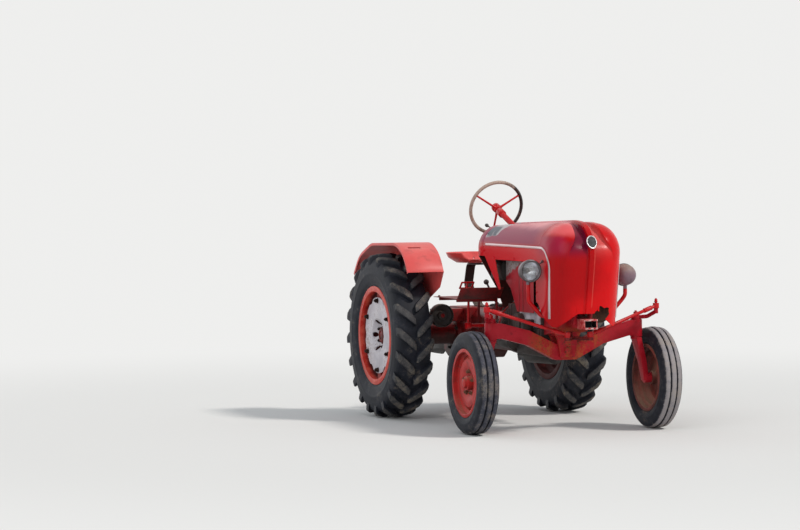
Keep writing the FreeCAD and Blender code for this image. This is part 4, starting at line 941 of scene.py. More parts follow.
def scoop_reach(place):
    """The scoop's width to each side at a point of the way, smoothed where its edge turns."""
    along = (place - scoop_middle).dot(Vector((1, 0, -1)).normalized())
    total = 0.0
    for shift in (-0.03, -0.015, 0.0, 0.015, 0.03):
        at = min(max(along + shift, scoop_edge[0][0]), scoop_edge[-1][0])
        (t0, y0), (t1, y1) = next(pair for pair in zip(scoop_edge, scoop_edge[1:]) if at <= pair[1][0])
        total += y0 + (y1 - y0) * (at - t0) / (t1 - t0)
    return total / 5


def hood_relief(depth, reach, y):
    """How far the skin stands out: the spine, less the scoop beside it."""
    spine = spine_rise * (1 - smooth((y - spine_half + 0.0035) / 0.006))
    valley = smooth((y - spine_half + 0.001) / 0.006) * (1 - smooth((y - reach + 0.006) / 0.011))
    return spine - depth * valley


def inside_outline(a, b, outline):
    crossings = 0
    for (a0, b0), (a1, b1) in zip(outline, outline[1:] + outline[:1]):
        if (b0 > b) != (b1 > b) and a < a0 + (b - b0) * (a1 - a0) / (b1 - b0):
            crossings += 1
    return crossings % 2 == 1


def cut_out(bm, outline, axis):
    """Splits a thin skin's faces along each side of an outline and takes out those inside it."""
    first, second = {"x": (1, 2), "y": (0, 2)}[axis]
    lows = [min(p[k] for p in outline) - 0.03 for k in (0, 1)]
    highs = [max(p[k] for p in outline) + 0.03 for k in (0, 1)]
    for (a0, b0), (a1, b1) in zip(outline, outline[1:] + outline[:1]):
        middles = [(face, face.calc_center_median()) for face in bm.faces]
        near = [face for face, middle in middles
                if lows[0] < middle[first] < highs[0] and lows[1] < middle[second] < highs[1]]
        parts = set(near)
        for face in near:
            parts.update(face.edges)
            parts.update(face.verts)
        point, normal = Vector((0, 0, 0)), Vector((0, 0, 0))
        point[first], point[second] = a0, b0
        normal[first], normal[second] = b1 - b0, a0 - a1
        bmesh.ops.bisect_plane(bm, geom=list(parts), dist=1e-6, plane_co=point, plane_no=normal.normalized())
    middles = [(face, face.calc_center_median()) for face in bm.faces]
    gone = [face for face, middle in middles if inside_outline(middle[first], middle[second], outline)]
    bmesh.ops.delete(bm, geom=gone, context="FACES")


def hood_way():
    """The centre line from the rear over the crown and down the nose, with its outward directions."""
    line = rounded([hood_back, hood_crown, hood_brow, nose_top, nose_low], [0, 0.300, 0.200, 0.175], 3.5)
    fine = []
    for start, end in zip(line, line[1:]):
        parts = max(1, round((end - start).length / (0.012 if start.x > 0.95 and start.z > 1.0 else 0.024)))
        fine += [start + (end - start) * k / parts for k in range(parts)]
    fine.append(line[-1])
    way = []
    for i, place in enumerate(fine):
        ahead = (fine[min(i + 1, len(fine) - 1)] - fine[max(i - 1, 0)]).normalized()
        way.append((place, Vector((-ahead.z, 0, ahead.x))))
    return way


def bonnet_skin():
    """The sheet's outer face: rings across the way, cut to shape, and the flat sides below them."""
    flat = hood_half - hood_round
    whole = flat + hood_round * math.pi / 2
    bm = bmesh.new()
    hollow = bm.verts.layers.float.new("hollow")
    rows = []
    line = hood_way()
    for (place, out), depth in zip(line, scoop_depths(line)):
        reach = scoop_reach(place)
        half = [*spine_points] + [0.030 + (reach - 0.042) * k / 4 for k in range(5)]
        half += [reach + shift for shift in scoop_points]
        half += [half[-1] + (whole - half[-1]) * k / 20 for k in range(1, 21)]
        row = []
        for side, length in [(-1, s) for s in reversed(half[1:])] + [(1, s) for s in half]:
            turn = max(0.0, length - flat) / hood_round
            y = min(length, flat) + hood_round * math.sin(turn)
            way = out * math.cos(turn) + Vector((0, side * math.sin(turn), 0))
            point = place - out * hood_round * (1 - math.cos(turn)) + Vector((0, side * y, 0))
            rise = hood_relief(depth, reach, length)
            vertex = bm.verts.new(point + way * rise)
            # hollow holds the scoop's depth; the bonnet's paint lays its painted shadow and painted sunlight
            # by it.
            vertex[hollow] = min(1.0, max(0.0, -rise / 0.028))
            row.append(vertex)
        rows.append(row)
    for a, b in zip(rows, rows[1:]):
        for k in range(len(a) - 1):
            bm.faces.new((a[k], a[k + 1], b[k + 1], b[k]))
    for outline, axis in ((chin, "y"), (notch, "x"), (tear, "x")):
        cut_out(bm, outline, axis)
    for side in (1, -1):
        rim = [v for v in bm.verts if abs(v.co.y - side * hood_half) < 1e-5 and v.link_faces]
        rim.sort(key=lambda v: math.atan2(v.co.z - window_middle[1], v.co.x - window_middle[0]), reverse=True)
        low = [bm.verts.new((x, side * hood_half, z)) for x, z in window]
        bm.faces.new(rim + low)
    bmesh.ops.remove_doubles(bm, verts=bm.verts, dist=1e-5)
    bmesh.ops.recalc_face_normals(bm, faces=bm.faces)
    mesh = bpy.data.meshes.new("bonnet skin")
    bm.to_mesh(mesh)
    bm.free()
    return mesh


def slab(name, outline, axis, low, high, sharp=40.0):
    """A flat plate: an outline across an axis, between two places along it."""
    vertices = [(h, a, b) if axis == "x" else (a, h, b) for h in (low, high) for a, b in outline]
    n = len(outline)
    return make_mesh(name, vertices, end_faces(2, n) + between_rings(2, n), sharp)


def hinge_ear(y):
    """An ear on the hinge pin, welded to the nose's inside."""
    outline = [(1.223, 0.788), (1.268, 0.788), (1.271, 0.832), (1.223, 0.816)]
    return add_object("ear", slab("ear", outline, "y", y - hood_sheet, y + hood_sheet))


def bonnet():
    skin = add_object("bonnet_work", bonnet_skin())
    thick = skin.modifiers.new("sheet", "SOLIDIFY")
    thick.thickness = hood_sheet
    thick.offset = -1.0
    thick.use_even_offset = True
    for _ in range(3):
        skin.data.materials.append(None)
    thick.material_offset_rim = 1
    thick.material_offset = 2
    skin = plain_mesh(skin, "bonnet_sheet_work")
    mark_faces(skin, "worn", lambda face: face.material_index == 1)
    # inner marks the sheet's inside, which the bonnet's paint darkens with painted shade.
    mark_faces(skin, "inner", lambda face: face.material_index == 2)
    piece = join("bonnet_sheet", [skin, hinge_ear(0.072), hinge_ear(-0.072)])
    shade(piece.data, 35)
    dress(piece, finishes["bonnet_red"], "hood", "bonnet_red", "hood")


bonnet()

# Plate on the nose
# A small domed oval casting, dull bright at its rim and dark inside, is riveted on the spine. It stays blank.

plate_place = Vector((1.322, 0, 1.226))
plate_wide = 0.036
plate_tall = 0.045
plate_rings = ((0.00, 0.0062, 1), (0.30, 0.0060, 1), (0.60, 0.0052, 1), (0.80, 0.0042, 1), (0.82, 0.0056, 0),
               (0.86, 0.0070, 0), (0.93, 0.0072, 0), (0.98, 0.0058, 0), (1.00, 0.0030, 0), (1.00, 0.0000, 0),
               (0.00, 0.0000, 0))  # share of the width, rise, whether it is the dark field


def nose_plate():
    place, out = min(hood_way(), key=lambda at: (at[0] - plate_place).length)
    base = place + out * (spine_rise + 0.0005)
    along = Vector((-out.z, 0, out.x))
    sides = 72
    vertices = []
    for share, rise, _ in plate_rings:
        for k in range(sides):
            angle = 2 * math.pi * k / sides
            wide, tall = math.sin(angle) * share, math.cos(angle) * plate_tall * share
            narrow = 1 - 0.22 * max(0.0, -math.cos(angle)) ** 1.5
            aside = Vector((0, wide * plate_wide * narrow, 0))
            vertices.append(base + out * (rise - 0.0012 * wide ** 2) + aside + along * tall)
    field = [inner for _, _, inner in plate_rings for _ in range(sides)]
    mesh = make_mesh("nose plate", vertices, between_rings(len(plate_rings), sides), 35, field=field)
    finish = Finish("nose plate")
    patch, fine = finish.noise(60, 5, 171), finish.noise(300, 3, 172)
    field = finish.mark("field")
    finish.base = finish.mix((0.50, 0.49, 0.50), (0.028, 0.031, 0.034), field * (patch * 0.3 + 0.8))
    finish.coat((0.09, 0.08, 0.075), (patch * 0.8 + fine * 0.3).step(0.58, 0.72) * 0.6)
    metal = finish.surface(Roughness=patch * 0.25 + field * 0.3 + 0.24, Metallic=0.9 - field * 0.9,
                           Specular_IOR_Level=0.2, Normal=finish.bump(fine, 0.0006, 0.4))
    dress(add_object("nose_plate", mesh), metal, "hood", "chrome")


nose_plate()

# Steering wheel
# A steel hub and three round spokes, painted red, carry a moulded dark rim with finger grips. Its skin has
# worn through to cream on the driver's right and along the top.

wheel_hub = Vector((hood_rear - 0.384, 0, 1.425))
column_tilt = math.radians(20)
column_way = Vector((math.cos(column_tilt), 0, -math.sin(column_tilt)))
wheel_up = Vector((math.sin(column_tilt), 0, math.cos(column_tilt)))
hub_profile = [(0, -0.030), (0.0135, -0.030), (0.0160, -0.0275), (0.0168, -0.0150), (0.0265, -0.0130),
               (0.0300, -0.0090), (0.0300, 0.0150), (0.0285, 0.0200), (0.0240, 0.0230), (0.0225, 0.0420),
               (0.0200, 0.0460), (0.0108, 0.0470), (0.0108, 0.2390), (0, 0.2390)]
grip_radius = 0.182
grip_thick = 0.0118
grip_waves = 44


def spun(name, profile, centre, way, segments=32, closed=True, sharp=40.0):
    """A turned piece of (radius, along) pairs about any axis."""
    vertices, faces = lathe(profile, (0, 0, 0), "z", segments, closed)
    turn = Vector((0, 0, 1)).rotation_difference(Vector(way)).to_matrix()
    return add_object(name, make_mesh(name, [turn @ v + Vector(centre) for v in vertices], faces, sharp))


def tube(name, way, radius, sides=14):
    """A round bar along a way of points; radius is one number, or one for each point."""
    way = [Vector(point) for point in way]
    radii = radius if isinstance(radius, list) else [radius] * len(way)
    across = None
    vertices = []
    for i, place in enumerate(way):
        ahead = (way[min(i + 1, len(way) - 1)] - way[max(i - 1, 0)]).normalized()
        if across is None:
            across = ahead.orthogonal().normalized()
        across = (across - ahead * across.dot(ahead)).normalized()
        other = ahead.cross(across)
        for k in range(sides):
            angle = 2 * math.pi * k / sides
            vertices.append(place + (across * math.cos(angle) + other * math.sin(angle)) * radii[i])
    faces = between_rings(len(way), sides) + end_faces(len(way), sides)
    return add_object(name, make_mesh(name, vertices, faces, 60))


def grip():
    """The moulded rim: a ring with shallow finger grips on its underside."""
    vertices = []
    rings, sides = grip_waves * 5, 16
    for i in range(rings):
        turn = 2 * math.pi * i / rings
        out = Vector((0, 1, 0)) * math.sin(turn) + wheel_up * math.cos(turn)
        wave = 0.5 + 0.5 * math.cos(grip_waves * turn)
        for k in range(sides):
            angle = 2 * math.pi * k / sides
            radius = grip_thick * (1 - 0.10 * max(0.0, math.sin(angle)) * (1 - wave))
            across = out * (grip_radius + radius * math.cos(angle))
            vertices.append(wheel_hub + across + column_way * radius * math.sin(angle))
    faces = between_rings(rings, sides, looped=True)
    return add_object("wheel_grip", make_mesh("wheel grip", vertices, faces, 60))


def grip_skin():
    """Brown-black moulding, worn to cream where the hands lie and along the top."""
    finish = Finish("wheel grip")
    y, z = finish.part(finish.place, 1), finish.part(finish.place, 2)
    patch, fine, grain = finish.noise(14, 5, 151), finish.noise(90, 4, 152), finish.noise(420, 2, 153)
    held = ((z - wheel_hub.z) * 2.2 - y * 5.0 + patch * 1.3 + fine * 0.4).step(0.55, 1.05)
    finish.base = finish.mix((0.022, 0.014, 0.013), (0.40, 0.29, 0.235), held)
    finish.coat((0.16, 0.065, 0.045), (fine * 0.8 + patch * 0.4).step(0.66, 0.76) * 0.7)
    finish.coat((0.55, 0.47, 0.42), (patch * 0.8 + grain * 0.2).step(0.58, 0.66) * held * 0.7)
    return finish.surface(Roughness=held * 0.22 + fine * 0.1 + 0.30,
                          Normal=finish.bump(fine * 0.5 + grain * 0.2, 0.0008, 0.5))


def steering_wheel():
    parts = [spun("hub", hub_profile, wheel_hub, column_way, 36, False)]
    for turn in (60, 180, 300):
        way = Vector((0, 1, 0)) * math.sin(math.radians(turn)) + wheel_up * math.cos(math.radians(turn))
        root, tip = wheel_hub + column_way * 0.026, wheel_hub + way * grip_radius
        points = [root.lerp(tip, t) for t in (0.08, 0.16, 0.22, 0.5, 0.9, 0.97)]
        parts.append(tube("spoke", points, [0.0125, 0.0100, 0.0078, 0.0068, 0.0066, 0.0080]))
    dress(grip(), grip_skin(), "steering_wheel", "wheel_rim", "steering_wheel")
    dress(join("wheel_spokes", parts), finishes["axle_red"], "steering_wheel", "axle_red", "steering_wheel")


steering_wheel()

# Headlamps
# Two pressed shells on bent arms. The right one looks forward: a dull rim holds a fluted glass over a
# silvered bowl with its bulb. The left one has turned on its stem and looks back, so its dusty shell faces
# forward.

lamp_x = 1.095
lamp_y = 0.334
glass_radius = 0.060
flute_width = 0.0075
bulb_profile = [(0, 0.016), (0.004, 0.0155), (0.0085, 0.012), (0.0100, 0.006), (0.0085, 0.000),
                (0.0060, -0.006),
                (0.0060, -0.012), (0, -0.012)]
socket_profile = [(0, -0.004), (0.0068, -0.004), (0.0076, -0.006), (0.0076, -0.015), (0.012, -0.0165),
                  (0, -0.0165)]
rim_profile = [(0.0590, 0.0385), (0.0590, 0.0420), (0.0610, 0.0448), (0.0650, 0.0460), (0.0695, 0.0445),
               (0.0722, 0.0405), (0.0728, 0.0340), (0.0728, 0.0265), (0.0712, 0.0245), (0.0712, 0.0380),
               (0.0650, 0.0425)]
eye_profile = [(0.0035, -0.003), (0.0095, -0.003), (0.0095, 0.003), (0.0035, 0.003)]


def plain_metal(name, colour, rough, metallic=1.0):
    """A smooth metal with faint smears."""
    finish = Finish(name)
    smear = finish.noise(30, 4, 161)
    finish.base = finish.mix(colour, tuple(0.6 * c for c in colour), smear.step(0.45, 0.75))
    return finish.surface(Roughness=smear * 0.2 + rough, Metallic=metallic)


def clear_glass(name, colour, rough):
    finish = Finish(name)
    finish.base = (*colour, 1.0)
    return finish.surface(Roughness=rough, Transmission_Weight=1.0, IOR=1.46)


def lens_mesh(centre, way):
    """A domed glass with upright flutes on its inner face."""
    rings, sides = 23, 96
    vertices = []
    for thick, flute in ((0.0, 0.0), (-0.0035, 0.0009)):
        for i in range(rings):
            share = i / (rings - 1)
            for k in range(sides):
                angle = 2 * math.pi * k / sides
                y, z = glass_radius * share * math.cos(angle), glass_radius * share * math.sin(angle)
                dome = 0.0500 - 0.0130 * share ** 2 + thick
                fade = 1 - smooth((glass_radius * share - 0.05) / 0.008)
                ridge = flute * math.cos(2 * math.pi * y / flute_width) * fade
                vertices.append(centre + way * (dome + ridge) + Vector((0, y, z)))
    inner, edge = rings * sides, (rings - 1) * sides
    faces = between_rings(rings, sides) + between_rings(rings, sides, start=inner)
    for k in range(sides):
        a, b = edge + k, edge + (k + 1) % sides
        faces.append((a, b, inner + b, inner + a))
    return make_mesh("lens", vertices, faces, 50)


silver = plain_metal("silvered bowl", (0.62, 0.62, 0.65), 0.12)
rim_metal = plain_metal("lamp rim", (0.13, 0.12, 0.125), 0.26)
lens_glass = clear_glass("lamp glass", (0.93, 0.95, 0.96), 0.02)
bulb_glass = clear_glass("bulb glass", (0.95, 0.95, 0.90), 0.0)


def headlamp(side, word, height):
    """What a lamp has in its shell: the bowl, the bulb, the glass and the rim with its clamp."""
    centre = Vector((lamp_x, side * lamp_y, height))
    way = Vector((-side, 0, 0))
    bowl = [(0.0565 * t, 0.0295 - 0.046 * (1 - t * t))
            for t in (0.0, 0.10, 0.18, 0.3, 0.45, 0.6, 0.75, 0.88, 1.0)]
    bowl += [(r, along - 0.0012) for r, along in reversed(bowl)]
    dress(spun(f"lamp_bowl_{word}", bowl, centre, way, 64, True, 60), silver, "chassis", "chrome")
    dress(spun(f"lamp_bulb_{word}", bulb_profile, centre, way, 24, False), bulb_glass, "chassis", "chrome")
    dress(spun(f"lamp_socket_{word}", socket_profile, centre, way, 24, False), finishes["steel"],
          "chassis", "steel")
    dress(add_object(f"lamp_glass_{word}", lens_mesh(centre, way)), lens_glass, "chassis", "chrome")
    lug = centre + way * 0.034 + Vector((0, -side * 0.062, 0.045))
    out = Vector((0, -side * 0.081, 0.058)).normalized()
    tip = lug + out * 0.022
    clamp = [spun("rim", rim_profile, centre, way, 96, True, 50),
             tube("screw", [lug, lug + out * 0.018, tip], [0.0052, 0.0052, 0.0030], 10),
             spun("eye", eye_profile, tip, way, 20)]
    dress(join(f"lamp_rim_{word}", clamp), rim_metal, "chassis", "chrome")


headlamp(-1, "right", 1.046)
headlamp(1, "left", 1.008)

# Bolts, nuts and screws
# Hexagon heads on washers hold the castings, discs, guards and sheets, oily below and rusty above. Each set
# is laid out as points that know which way they look and how wide they are.


def bolt_tree():
    """A node tree that sets a hexagon head, its washer and its stub on every point, all for a width of 1."""
    tree, given, keys = new_tree("bolts on points", (
        ("Head height", "Float"), ("Washer width", "Float"), ("Stub length", "Float"),
        ("Material", "Material")))

    def maths(operation, a, b):
        return add_node(tree, "ShaderNodeMath", {"operation": operation}, [a, b])

    def drum(sides, radius, low, height):
        """A cylinder that stands on the height low; its values are numbers or sockets."""
        made = add_node(tree, "GeometryNodeMeshCylinder", None,
                        {"Vertices": sides, "Radius": radius, "Depth": height})
        middle = maths("ADD", maths("MULTIPLY", height, 0.5), low)
        shift = add_node(tree, "ShaderNodeCombineXYZ", None, {"Z": middle})
        return add_node(tree, "GeometryNodeTransform", None, {"Geometry": made, "Translation": shift})

    def stored(name, kind):
        return add_node(tree, "GeometryNodeInputNamedAttribute", {"data_type": kind}, {"Name": name},
                        "Attribute")

    high = given["Head height"]
    together = add_node(tree, "GeometryNodeJoinGeometry")
    for part in (drum(20, maths("MULTIPLY", given["Washer width"], 0.5), -0.05, 0.18),
                 drum(6, 0.577, 0.10, high),
                 drum(18, 0.50, 0.10, maths("ADD", high, 0.05)),
                 drum(12, 0.28, 0.10, maths("ADD", high, given["Stub length"]))):
        tree.links.new(part, together.node.inputs[0])
    lean = add_node(tree, "FunctionNodeAlignRotationToVector", {"axis": "Z"},
                    {"Vector": stored("aim", "FLOAT_VECTOR")})
    angle = maths("MULTIPLY", add_node(tree, "GeometryNodeInputIndex"), 1.7)
    spin = add_node(tree, "FunctionNodeAxisAngleToRotation", None, {"Axis": (0, 0, 1), "Angle": angle})
    turn = add_node(tree, "FunctionNodeRotateRotation", {"rotation_space": "LOCAL"}, [lean, spin])
    copies = add_node(tree, "GeometryNodeInstanceOnPoints", None,
                      {"Points": given["Geometry"], "Instance": together, "Rotation": turn,
                       "Scale": stored("width", "FLOAT")})
    close_tree(tree, copies, given)
    return tree, keys


set_bolts = bolt_tree()
surfaces = {}


def seat(piece, start, way):
    """Where a ray from a point lands on a dressed piece, and which way the skin looks there; None past it.
    Without a piece the point itself is the place."""
    start, way = Vector(start), Vector(way)
    if piece is None:
        return start, -way
    if piece not in surfaces:
        mesh = bpy.data.objects[piece].data
        surfaces[piece] = BVHTree.FromPolygons([v.co for v in mesh.vertices],
                                               [tuple(f.vertices) for f in mesh.polygons])
    place, normal, _, _ = surfaces[piece].ray_cast(start, way.normalized(), 0.6)
    if place is None:
        return None
    return place, -normal if normal.dot(way) > 0 else normal


def bolts(name, body, spots, finish, head, washer, stub, slot="steel"):
    """spots holds (piece, start, way, width): each head sits where its ray lands, if it meets the piece."""
    found = [(seat(piece, start, way), width) for piece, start, way, width in spots]
    found = [(*hit, width) for hit, width in found if hit]
    mesh = bpy.data.meshes.new(name)
    mesh.from_pydata([place for place, _, _ in found], [], [])
    aims = [value for _, normal, _ in found for value in normal]
    mesh.attributes.new("aim", "FLOAT_VECTOR", "POINT").data.foreach_set("vector", aims)
    mesh.attributes.new("width", "FLOAT", "POINT").data.foreach_set("value", [width for _, _, width in found])
    piece = run_tree(name, mesh, set_bolts, Head_height=head, Washer_width=washer, Stub_length=stub,
                     Material=finish)
    shade(piece.data, 35)
    dress(piece, finish, body, slot)


def circle(piece, centre, axis, radius, count, start, way, width, back):
    """Spots round an axis, their rays starting back from the circle's plane."""
    spots = []
    for k in range(count):
        angle = math.radians(start) + 2 * math.pi * k / count
        c, s = radius * math.cos(angle), radius * math.sin(angle)
        shift = Vector((0, c, s) if axis == "x" else (c, 0, s))
        spots.append((piece, Vector(centre) + shift - Vector(way) * back, way, width))
    return spots


rusty_bolt = bare_metal("rusty bolt", (0.16, 0.13, 0.12), 0.50, 0.85, 201)
dark_bolt = bare_metal("dark bolt", (0.030, 0.020, 0.018), 0.55, 0.15, 202)
painted_bolt = finishes["axle_red"]
oily_bolt = finishes["dark_steel"]


def wheel_bolts(side, word):
    into = (0, -side, 0)
    disc = Vector((rear_wheel.x, side * 0.700, rear_wheel.z))
    outer = Vector((rear_wheel.x, side * 0.7155, rear_wheel.z))
    spots = circle(None, outer, "y", 0.236, 6, 30, into, 0.024, 0)
    spots += circle(f"rear_disc_{word}_finish", disc, "y", 0.0790, 6, 30, into, 0.019, 0.12)
    bolts(f"rear_wheel_bolts_{word}", f"rear_wheel_{word}", spots, dark_bolt, 0.7, 1.5, 0.3)
    low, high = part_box(f"front_rim_{word}")
    spots = circle(f"front_rim_{word}_finish", (low + high) / 2, "y", 0.078, 5, 90, into, 0.020, 0.16)
    bolts(f"front_wheel_bolts_{word}", f"front_wheel_{word}", spots, rusty_bolt, 0.8, 1.5, 0.3)


def rows(piece, spread_x, spread_y, spread_z, way, width):
    """Spots at every mix of the x, y and z values given."""
    return [(piece, (x, y, z), way, width) for x in spread_x for y in spread_y for z in spread_z]


def chassis_bolts():
    down = (0, 0, -1)
    spots = circle("gearbox_tunnel_finish", (0.170, 0, 0.640), "x", 0.163, 12, 15, (1, 0, 0), 0.019, 0.09)
    spots += circle("crankcase_finish", (0.200, 0, 0.640), "x", 0.163, 12, 15, (-1, 0, 0), 0.019, 0.06)
    for side in (1, -1):
        into, out = (0, -side, 0), (0, side, 0)
        inner, outer = ((rear_wheel.x, side * y, rear_wheel.z) for y in (0.19, 0.43))
        spots += circle("rear_axle_case_finish", inner, "y", 0.104, 8, 22.5, into, 0.019, 0.02)
        spots += circle("rear_axle_case_finish", outer, "y", 0.120, 8, 22.5, out, 0.017, 0.05)
        sump = [0.285 + 0.105 * k for k in range(5)]
        spots += rows("crankcase_finish", sump, [side * 0.30], (0.594, 0.646), into, 0.013)
        for z in (0.888, 0.982):
            spots += rows("steering_box_finish", (0.945, 0.990), [side * 0.2], [z], into, 0.015)
        spots += rows("front_carrier_finish", (0.82, 0.90, 0.98), [side * 0.3], [0.735], into, 0.019)
        spots += rows("cylinders_finish", (0.345, 0.445, 0.535, 0.635), [side * 0.060], [1.2], down, 0.017)
        spots += rows("gearbox_tunnel_finish", (-0.272, -0.180, -0.088), [side * 0.060], [0.90], down, 0.014)
        spots += rows("hitch_frame_finish", [-0.80], [side * 0.4], (0.47, 0.55, 0.63), into, 0.022)
    bolts("casting_bolts", "chassis", spots, oily_bolt, 0.62, 1.7, 0.15, "dark_steel")


def sheet_bolts():
    down = (0, 0, -1)
    spots = []
    for side, word in both_sides:
        low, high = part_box("footplate_" + word)
        spots += rows(f"footplate_{word}_finish", (low.x + 0.03, high.x - 0.03),
                      (low.y + 0.03, high.y - 0.03),
                      [high.z + 0.05], down, 0.013)
        spots += rows(f"mudguard_{word}_finish", (-0.86, -0.72, -0.58), [0], [0.98], (0, side, 0), 0.011)
    spots += rows("seat_pan_finish", [-0.685], (-0.055, 0.055), [1.3], down, 0.016)
    bolts("sheet_bolts", "chassis", spots, rusty_bolt, 0.5, 1.9, 0.05)


def steering_bolts(side, word):
    """The kingpin's nut and the nut of the rod's eye."""
    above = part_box("knuckle_" + word)[1].z + 0.2
    spots = [(f"knuckle_{word}_finish", (x, side * y, above), (0, 0, -1), width)
             for x, y, width in ((0.865, 0.505, 0.026), (1.005, 0.585, 0.019))]
    bolts(f"knuckle_nuts_{word}", f"knuckle_{word}", spots, painted_bolt, 0.75, 1.35, 0.35, "axle_red")


def bonnet_screws():
    places = ((0.088, 1.150), (0.088, 1.262), (0.265, 1.110), (0.62, 1.110), (0.94, 1.110), (1.012, 0.905),
              (1.012, 1.03))
    spots = [("bonnet_sheet", (x, side * 0.5, z), (0, -side, 0), 0.010) for side in (1, -1)
             for x, z in places]
    bolts("bonnet_screws", "hood", spots, finishes["bonnet_red"], 0.30, 1.6, 0.0, "bonnet_red")


for side, word in both_sides:
    wheel_bolts(side, word)
chassis_bolts()
sheet_bolts()
for side, word in both_sides:
    steering_bolts(side, word)
bonnet_screws()

# Covers beside the engine
# A cast aluminium plate closes the block's right side above the axle; it has gone chalky and pale. A rusty
# sheet stands behind the nose's left side, where the tear shows it.

cover_low = (0.438, 0.676)
cover_high = (0.765, 0.785)
cover_corner = 0.012
cover_rings = ((0.0, -0.1245), (0.0, -0.1290), (0.0012, -0.1302), (0.016, -0.1302), (0.019, -0.1340),
               (0.024, -0.1352))  # inset, y
cover_bolts = ((0.434, 0.788), (0.52, 0.789), (0.60, 0.789), (0.68, 0.789), (0.769, 0.788), (0.434, 0.672),
               (0.769, 0.672))


def side_cover():
    (x0, z0), (x1, z1) = cover_low, cover_high
    outline = []
    for x, z, start in ((x1, z1, 0), (x0, z1, 90), (x0, z0, 180), (x1, z0, 270)):
        for k in range(7):
            angle = math.radians(start + 15 * k)
            outline.append((x + cover_corner * math.cos(angle), z + cover_corner * math.sin(angle)))
    middle = ((x0 + x1) / 2, (z0 + z1) / 2)
    half = ((x1 - x0) / 2 + cover_corner, (z1 - z0) / 2 + cover_corner)
    vertices = [(x - inset * (x - middle[0]) / half[0], y, z - inset * (z - middle[1]) / half[1])
                for inset, y in cover_rings for x, z in outline]
    rings, n = len(cover_rings), len(outline)
    mesh = make_mesh("side cover", vertices, between_rings(rings, n) + end_faces(rings, n), 30)
    finish = Finish("chalky cover")
    patch, fine = finish.noise(16, 5, 211), finish.noise(90, 4, 212)
    finish.base = finish.mix((0.56, 0.50, 0.55), (0.40, 0.34, 0.37), patch.step(0.4, 0.65))
    finish.coat((0.07, 0.045, 0.04), (patch * 0.6 + fine * 0.4).step(0.57, 0.68) * 0.8)
    metal = finish.surface(Roughness=fine * 0.2 + 0.5, Metallic=0.15,
                           Normal=finish.bump(fine * 0.5 + patch * 0.3, 0.0012, 0.6))
    dress(add_object("side_cover", mesh), metal, "chassis", "engine")
    spots = [("side_cover", (x, -0.3, z), (0, 1, 0), 0.012) for x, z in cover_bolts]
    bolts("side_cover_bolts", "chassis", spots, rusty_bolt, 0.6, 1.5, 0.1)


def stone_guard():
    outline = [(0.060, 0.705), (0.180, 0.705), (0.232, 0.730), (0.232, 0.850), (0.150, 0.868), (0.060, 0.868)]
    finish = Finish("rusty sheet")
    patch, fine = finish.noise(20, 5, 231), finish.noise(110, 4, 232)
    finish.base = finish.mix((0.050, 0.022, 0.014), (0.13, 0.055, 0.026),
                             (patch * 0.6 + fine * 0.4).step(0.42, 0.60))
    metal = finish.surface(Roughness=fine * 0.2 + 0.65, Normal=finish.bump(fine, 0.0012, 0.6))
    guard = add_object("stone_guard", slab("stone guard", outline, "x", 1.068, 1.072, 30))
    dress(guard, metal, "chassis", "dark_steel")
    spots = [("stone_guard", (1.2, y, z), (-1, 0, 0), 0.013)
             for y, z in ((0.075, 0.725), (0.075, 0.850), (0.215, 0.838))]
    bolts("stone_guard_bolts", "chassis", spots, rusty_bolt, 0.6, 1.6, 0.1)


side_cover()
stone_guard()

# Dash and fuel lines
# Three round instruments with plain dials, two pull knobs and the hand throttle sit on the dash. Thin steel
# pipes run from the pump up to the two injectors.

instruments = ((0.0, 1.170, 0.040, 215), (-0.100, 1.160, 0.026, 160),
               (0.100, 1.160, 0.026, 120))  # y, z, r, hand
knobs = ((-0.165, 1.075, 0.010), (0.165, 1.075, 0.010), (0.0, 1.085, 0.012))  # y, z, r
throttle_way = ((0.004, 0, 0), (-0.030, 0, 0.004), (-0.060, -0.012, 0.020), (-0.105, -0.050, 0.052))
ball_profile = [(0, 0.020), (0.008, 0.018), (0.0125, 0.010), (0.0125, 0.004), (0.008, -0.004), (0, -0.005)]
injector_profile = [(0, 0.062), (0.006, 0.061), (0.0075, 0.055), (0.0075, 0.045), (0.0120, 0.043),
                    (0.0120, 0.026),
                    (0.0085, 0.024), (0.0085, -0.010), (0, -0.010)]
pump_profile = [(0, 0.020), (0.020, 0.018), (0.024, 0.010), (0.024, -0.060), (0.032, -0.064), (0.032, -0.085),
                (0, -0.085)]
dial_black = plain_metal("dial black", (0.012, 0.012, 0.013), 0.42, 0.0)
dial_pale = plain_metal("dial pale", (0.62, 0.60, 0.54), 0.5, 0.0)
needle_red = plain_metal("needle red", (0.50, 0.02, 0.015), 0.4, 0.0)


def on_dash(y, z):
    return seat("dash_cowl_finish", (-0.30, y, z), (1, 0, 0))[0]


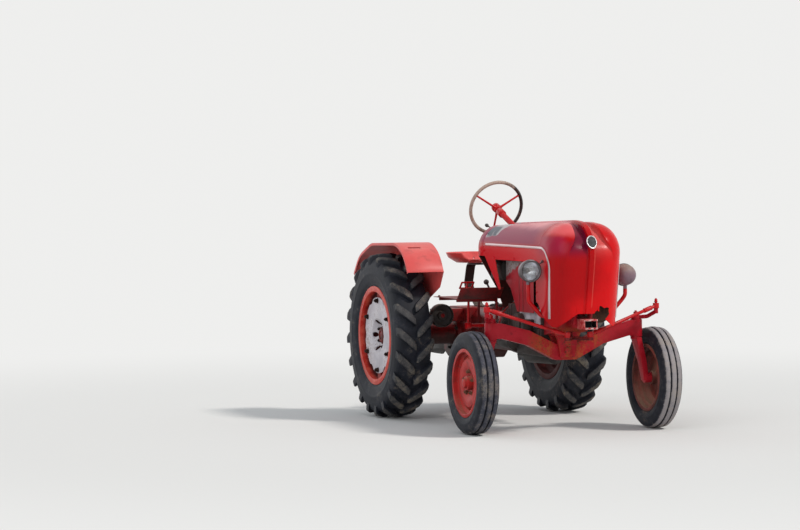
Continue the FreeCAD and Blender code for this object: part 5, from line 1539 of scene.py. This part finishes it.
def dash_parts():
    back = (-1, 0, 0)
    parts = {name: [] for name in ("rings", "dials", "ticks", "hands", "glasses", "knobs")}
    for y, z, r, turn in instruments:
        place = on_dash(y, z)
        bezel = [(r - 0.004, -0.002), (r - 0.004, 0.007), (r - 0.002, 0.009), (r + 0.002, 0.009),
                 (r + 0.005, 0.006),
                 (r + 0.005, -0.002)]
        dial = [(0, 0.0022), (r - 0.0038, 0.0022), (r - 0.0038, -0.001), (0, -0.001)]
        glass = [(0, 0.0078), (r - 0.0042, 0.0068), (r - 0.0042, 0.0056), (0, 0.0066)]
        boss = [(0, 0.0050), (r * 0.09, 0.0050), (r * 0.09, 0.002), (0, 0.002)]
        parts["rings"].append(spun("ring", bezel, place, back, 48))
        parts["dials"].append(spun("dial", dial, place, back, 48, False))
        parts["glasses"].append(spun("glass", glass, place, back, 48, False))
        outline = [(-0.0006, r * 0.70), (0.0006, r * 0.70), (0.0006, r * 0.84), (-0.0006, r * 0.84)]
        tick = slab("tick", outline, "x", -0.0028, -0.0020)
        marks = around("ticks", tick, (0, 0, 0), (1, 0, 0), 19, dial_pale, math.radians(-135),
                       math.radians(285))
        marks.data.transform(Matrix.Translation(place))
        parts["ticks"].append(marks)
        way = Vector((0, math.sin(math.radians(turn)), math.cos(math.radians(turn))))
        front = place + Vector((-0.0040, 0, 0))
        hand = [front - way * r * 0.15, front, front + way * r * 0.72]
        parts["hands"] += [tube("hand", hand, [0.0012, 0.0012, 0.0004], 8),
                           spun("boss", boss, place, back, 20, False)]
    for y, z, r in knobs:
        profile = [(0, 0.030), (r * 0.7, 0.0295), (r, 0.026), (r, 0.019), (r * 0.55, 0.016), (r * 0.4, 0.006),
                   (r * 0.4, -0.002), (0, -0.002)]
        parts["knobs"].append(spun("knob", profile, on_dash(y, z), back, 24, False))
    root = on_dash(-0.085, 1.255)
    rod = [root + Vector(v) for v in throttle_way]
    parts["knobs"] += [tube("throttle", rod, 0.0045, 12),
                       spun("ball", ball_profile, rod[-1], (rod[-1] - rod[-2]).normalized(), 24, False)]
    for name, finish, slot in (("rings", rim_metal, "chrome"), ("dials", dial_black, "dark_steel"),
                               ("ticks", dial_pale, "chrome"), ("hands", needle_red, "axle_red"),
                               ("glasses", lens_glass, "chrome"),
                               ("knobs", finishes["dark_steel"], "dark_steel")):
        dress(join("dash_" + name, parts[name]), finish, "chassis", slot)


def fuel_lines():
    pieces = []
    for i, x in enumerate((0.395, 0.585)):
        pieces.append(spun("injector", injector_profile, (x, 0, 1.040), (0, 0, 1), 24, False))
        y = 0.030 + 0.014 * i
        way = [(x, 0, 1.096), (x, 0.006, 1.112), (x - 0.01, y - 0.008, 1.118), (x - 0.03, y, 1.116),
               (0.33, y, 1.112),
               (0.290, y + 0.01, 1.108), (0.272, y + 0.03, 1.094), (0.268, 0.10 + 0.012 * i, 1.03),
               (0.266, 0.145, 0.92 + 0.01 * i), (0.266, 0.150, 0.82)]
        pieces.append(tube("line", way, 0.0036, 12))
    pieces.append(spun("pump", pump_profile, (0.266, 0.150, 0.815), (0, 0, 1), 28, False))
    pieces.append(tube("arm", [(0.266, 0.150, 0.760), (0.266, 0.118, 0.755)], 0.020, 16))
    dress(join("fuel_lines", pieces), finishes["steel"], "chassis", "steel")


dash_parts()
fuel_lines()
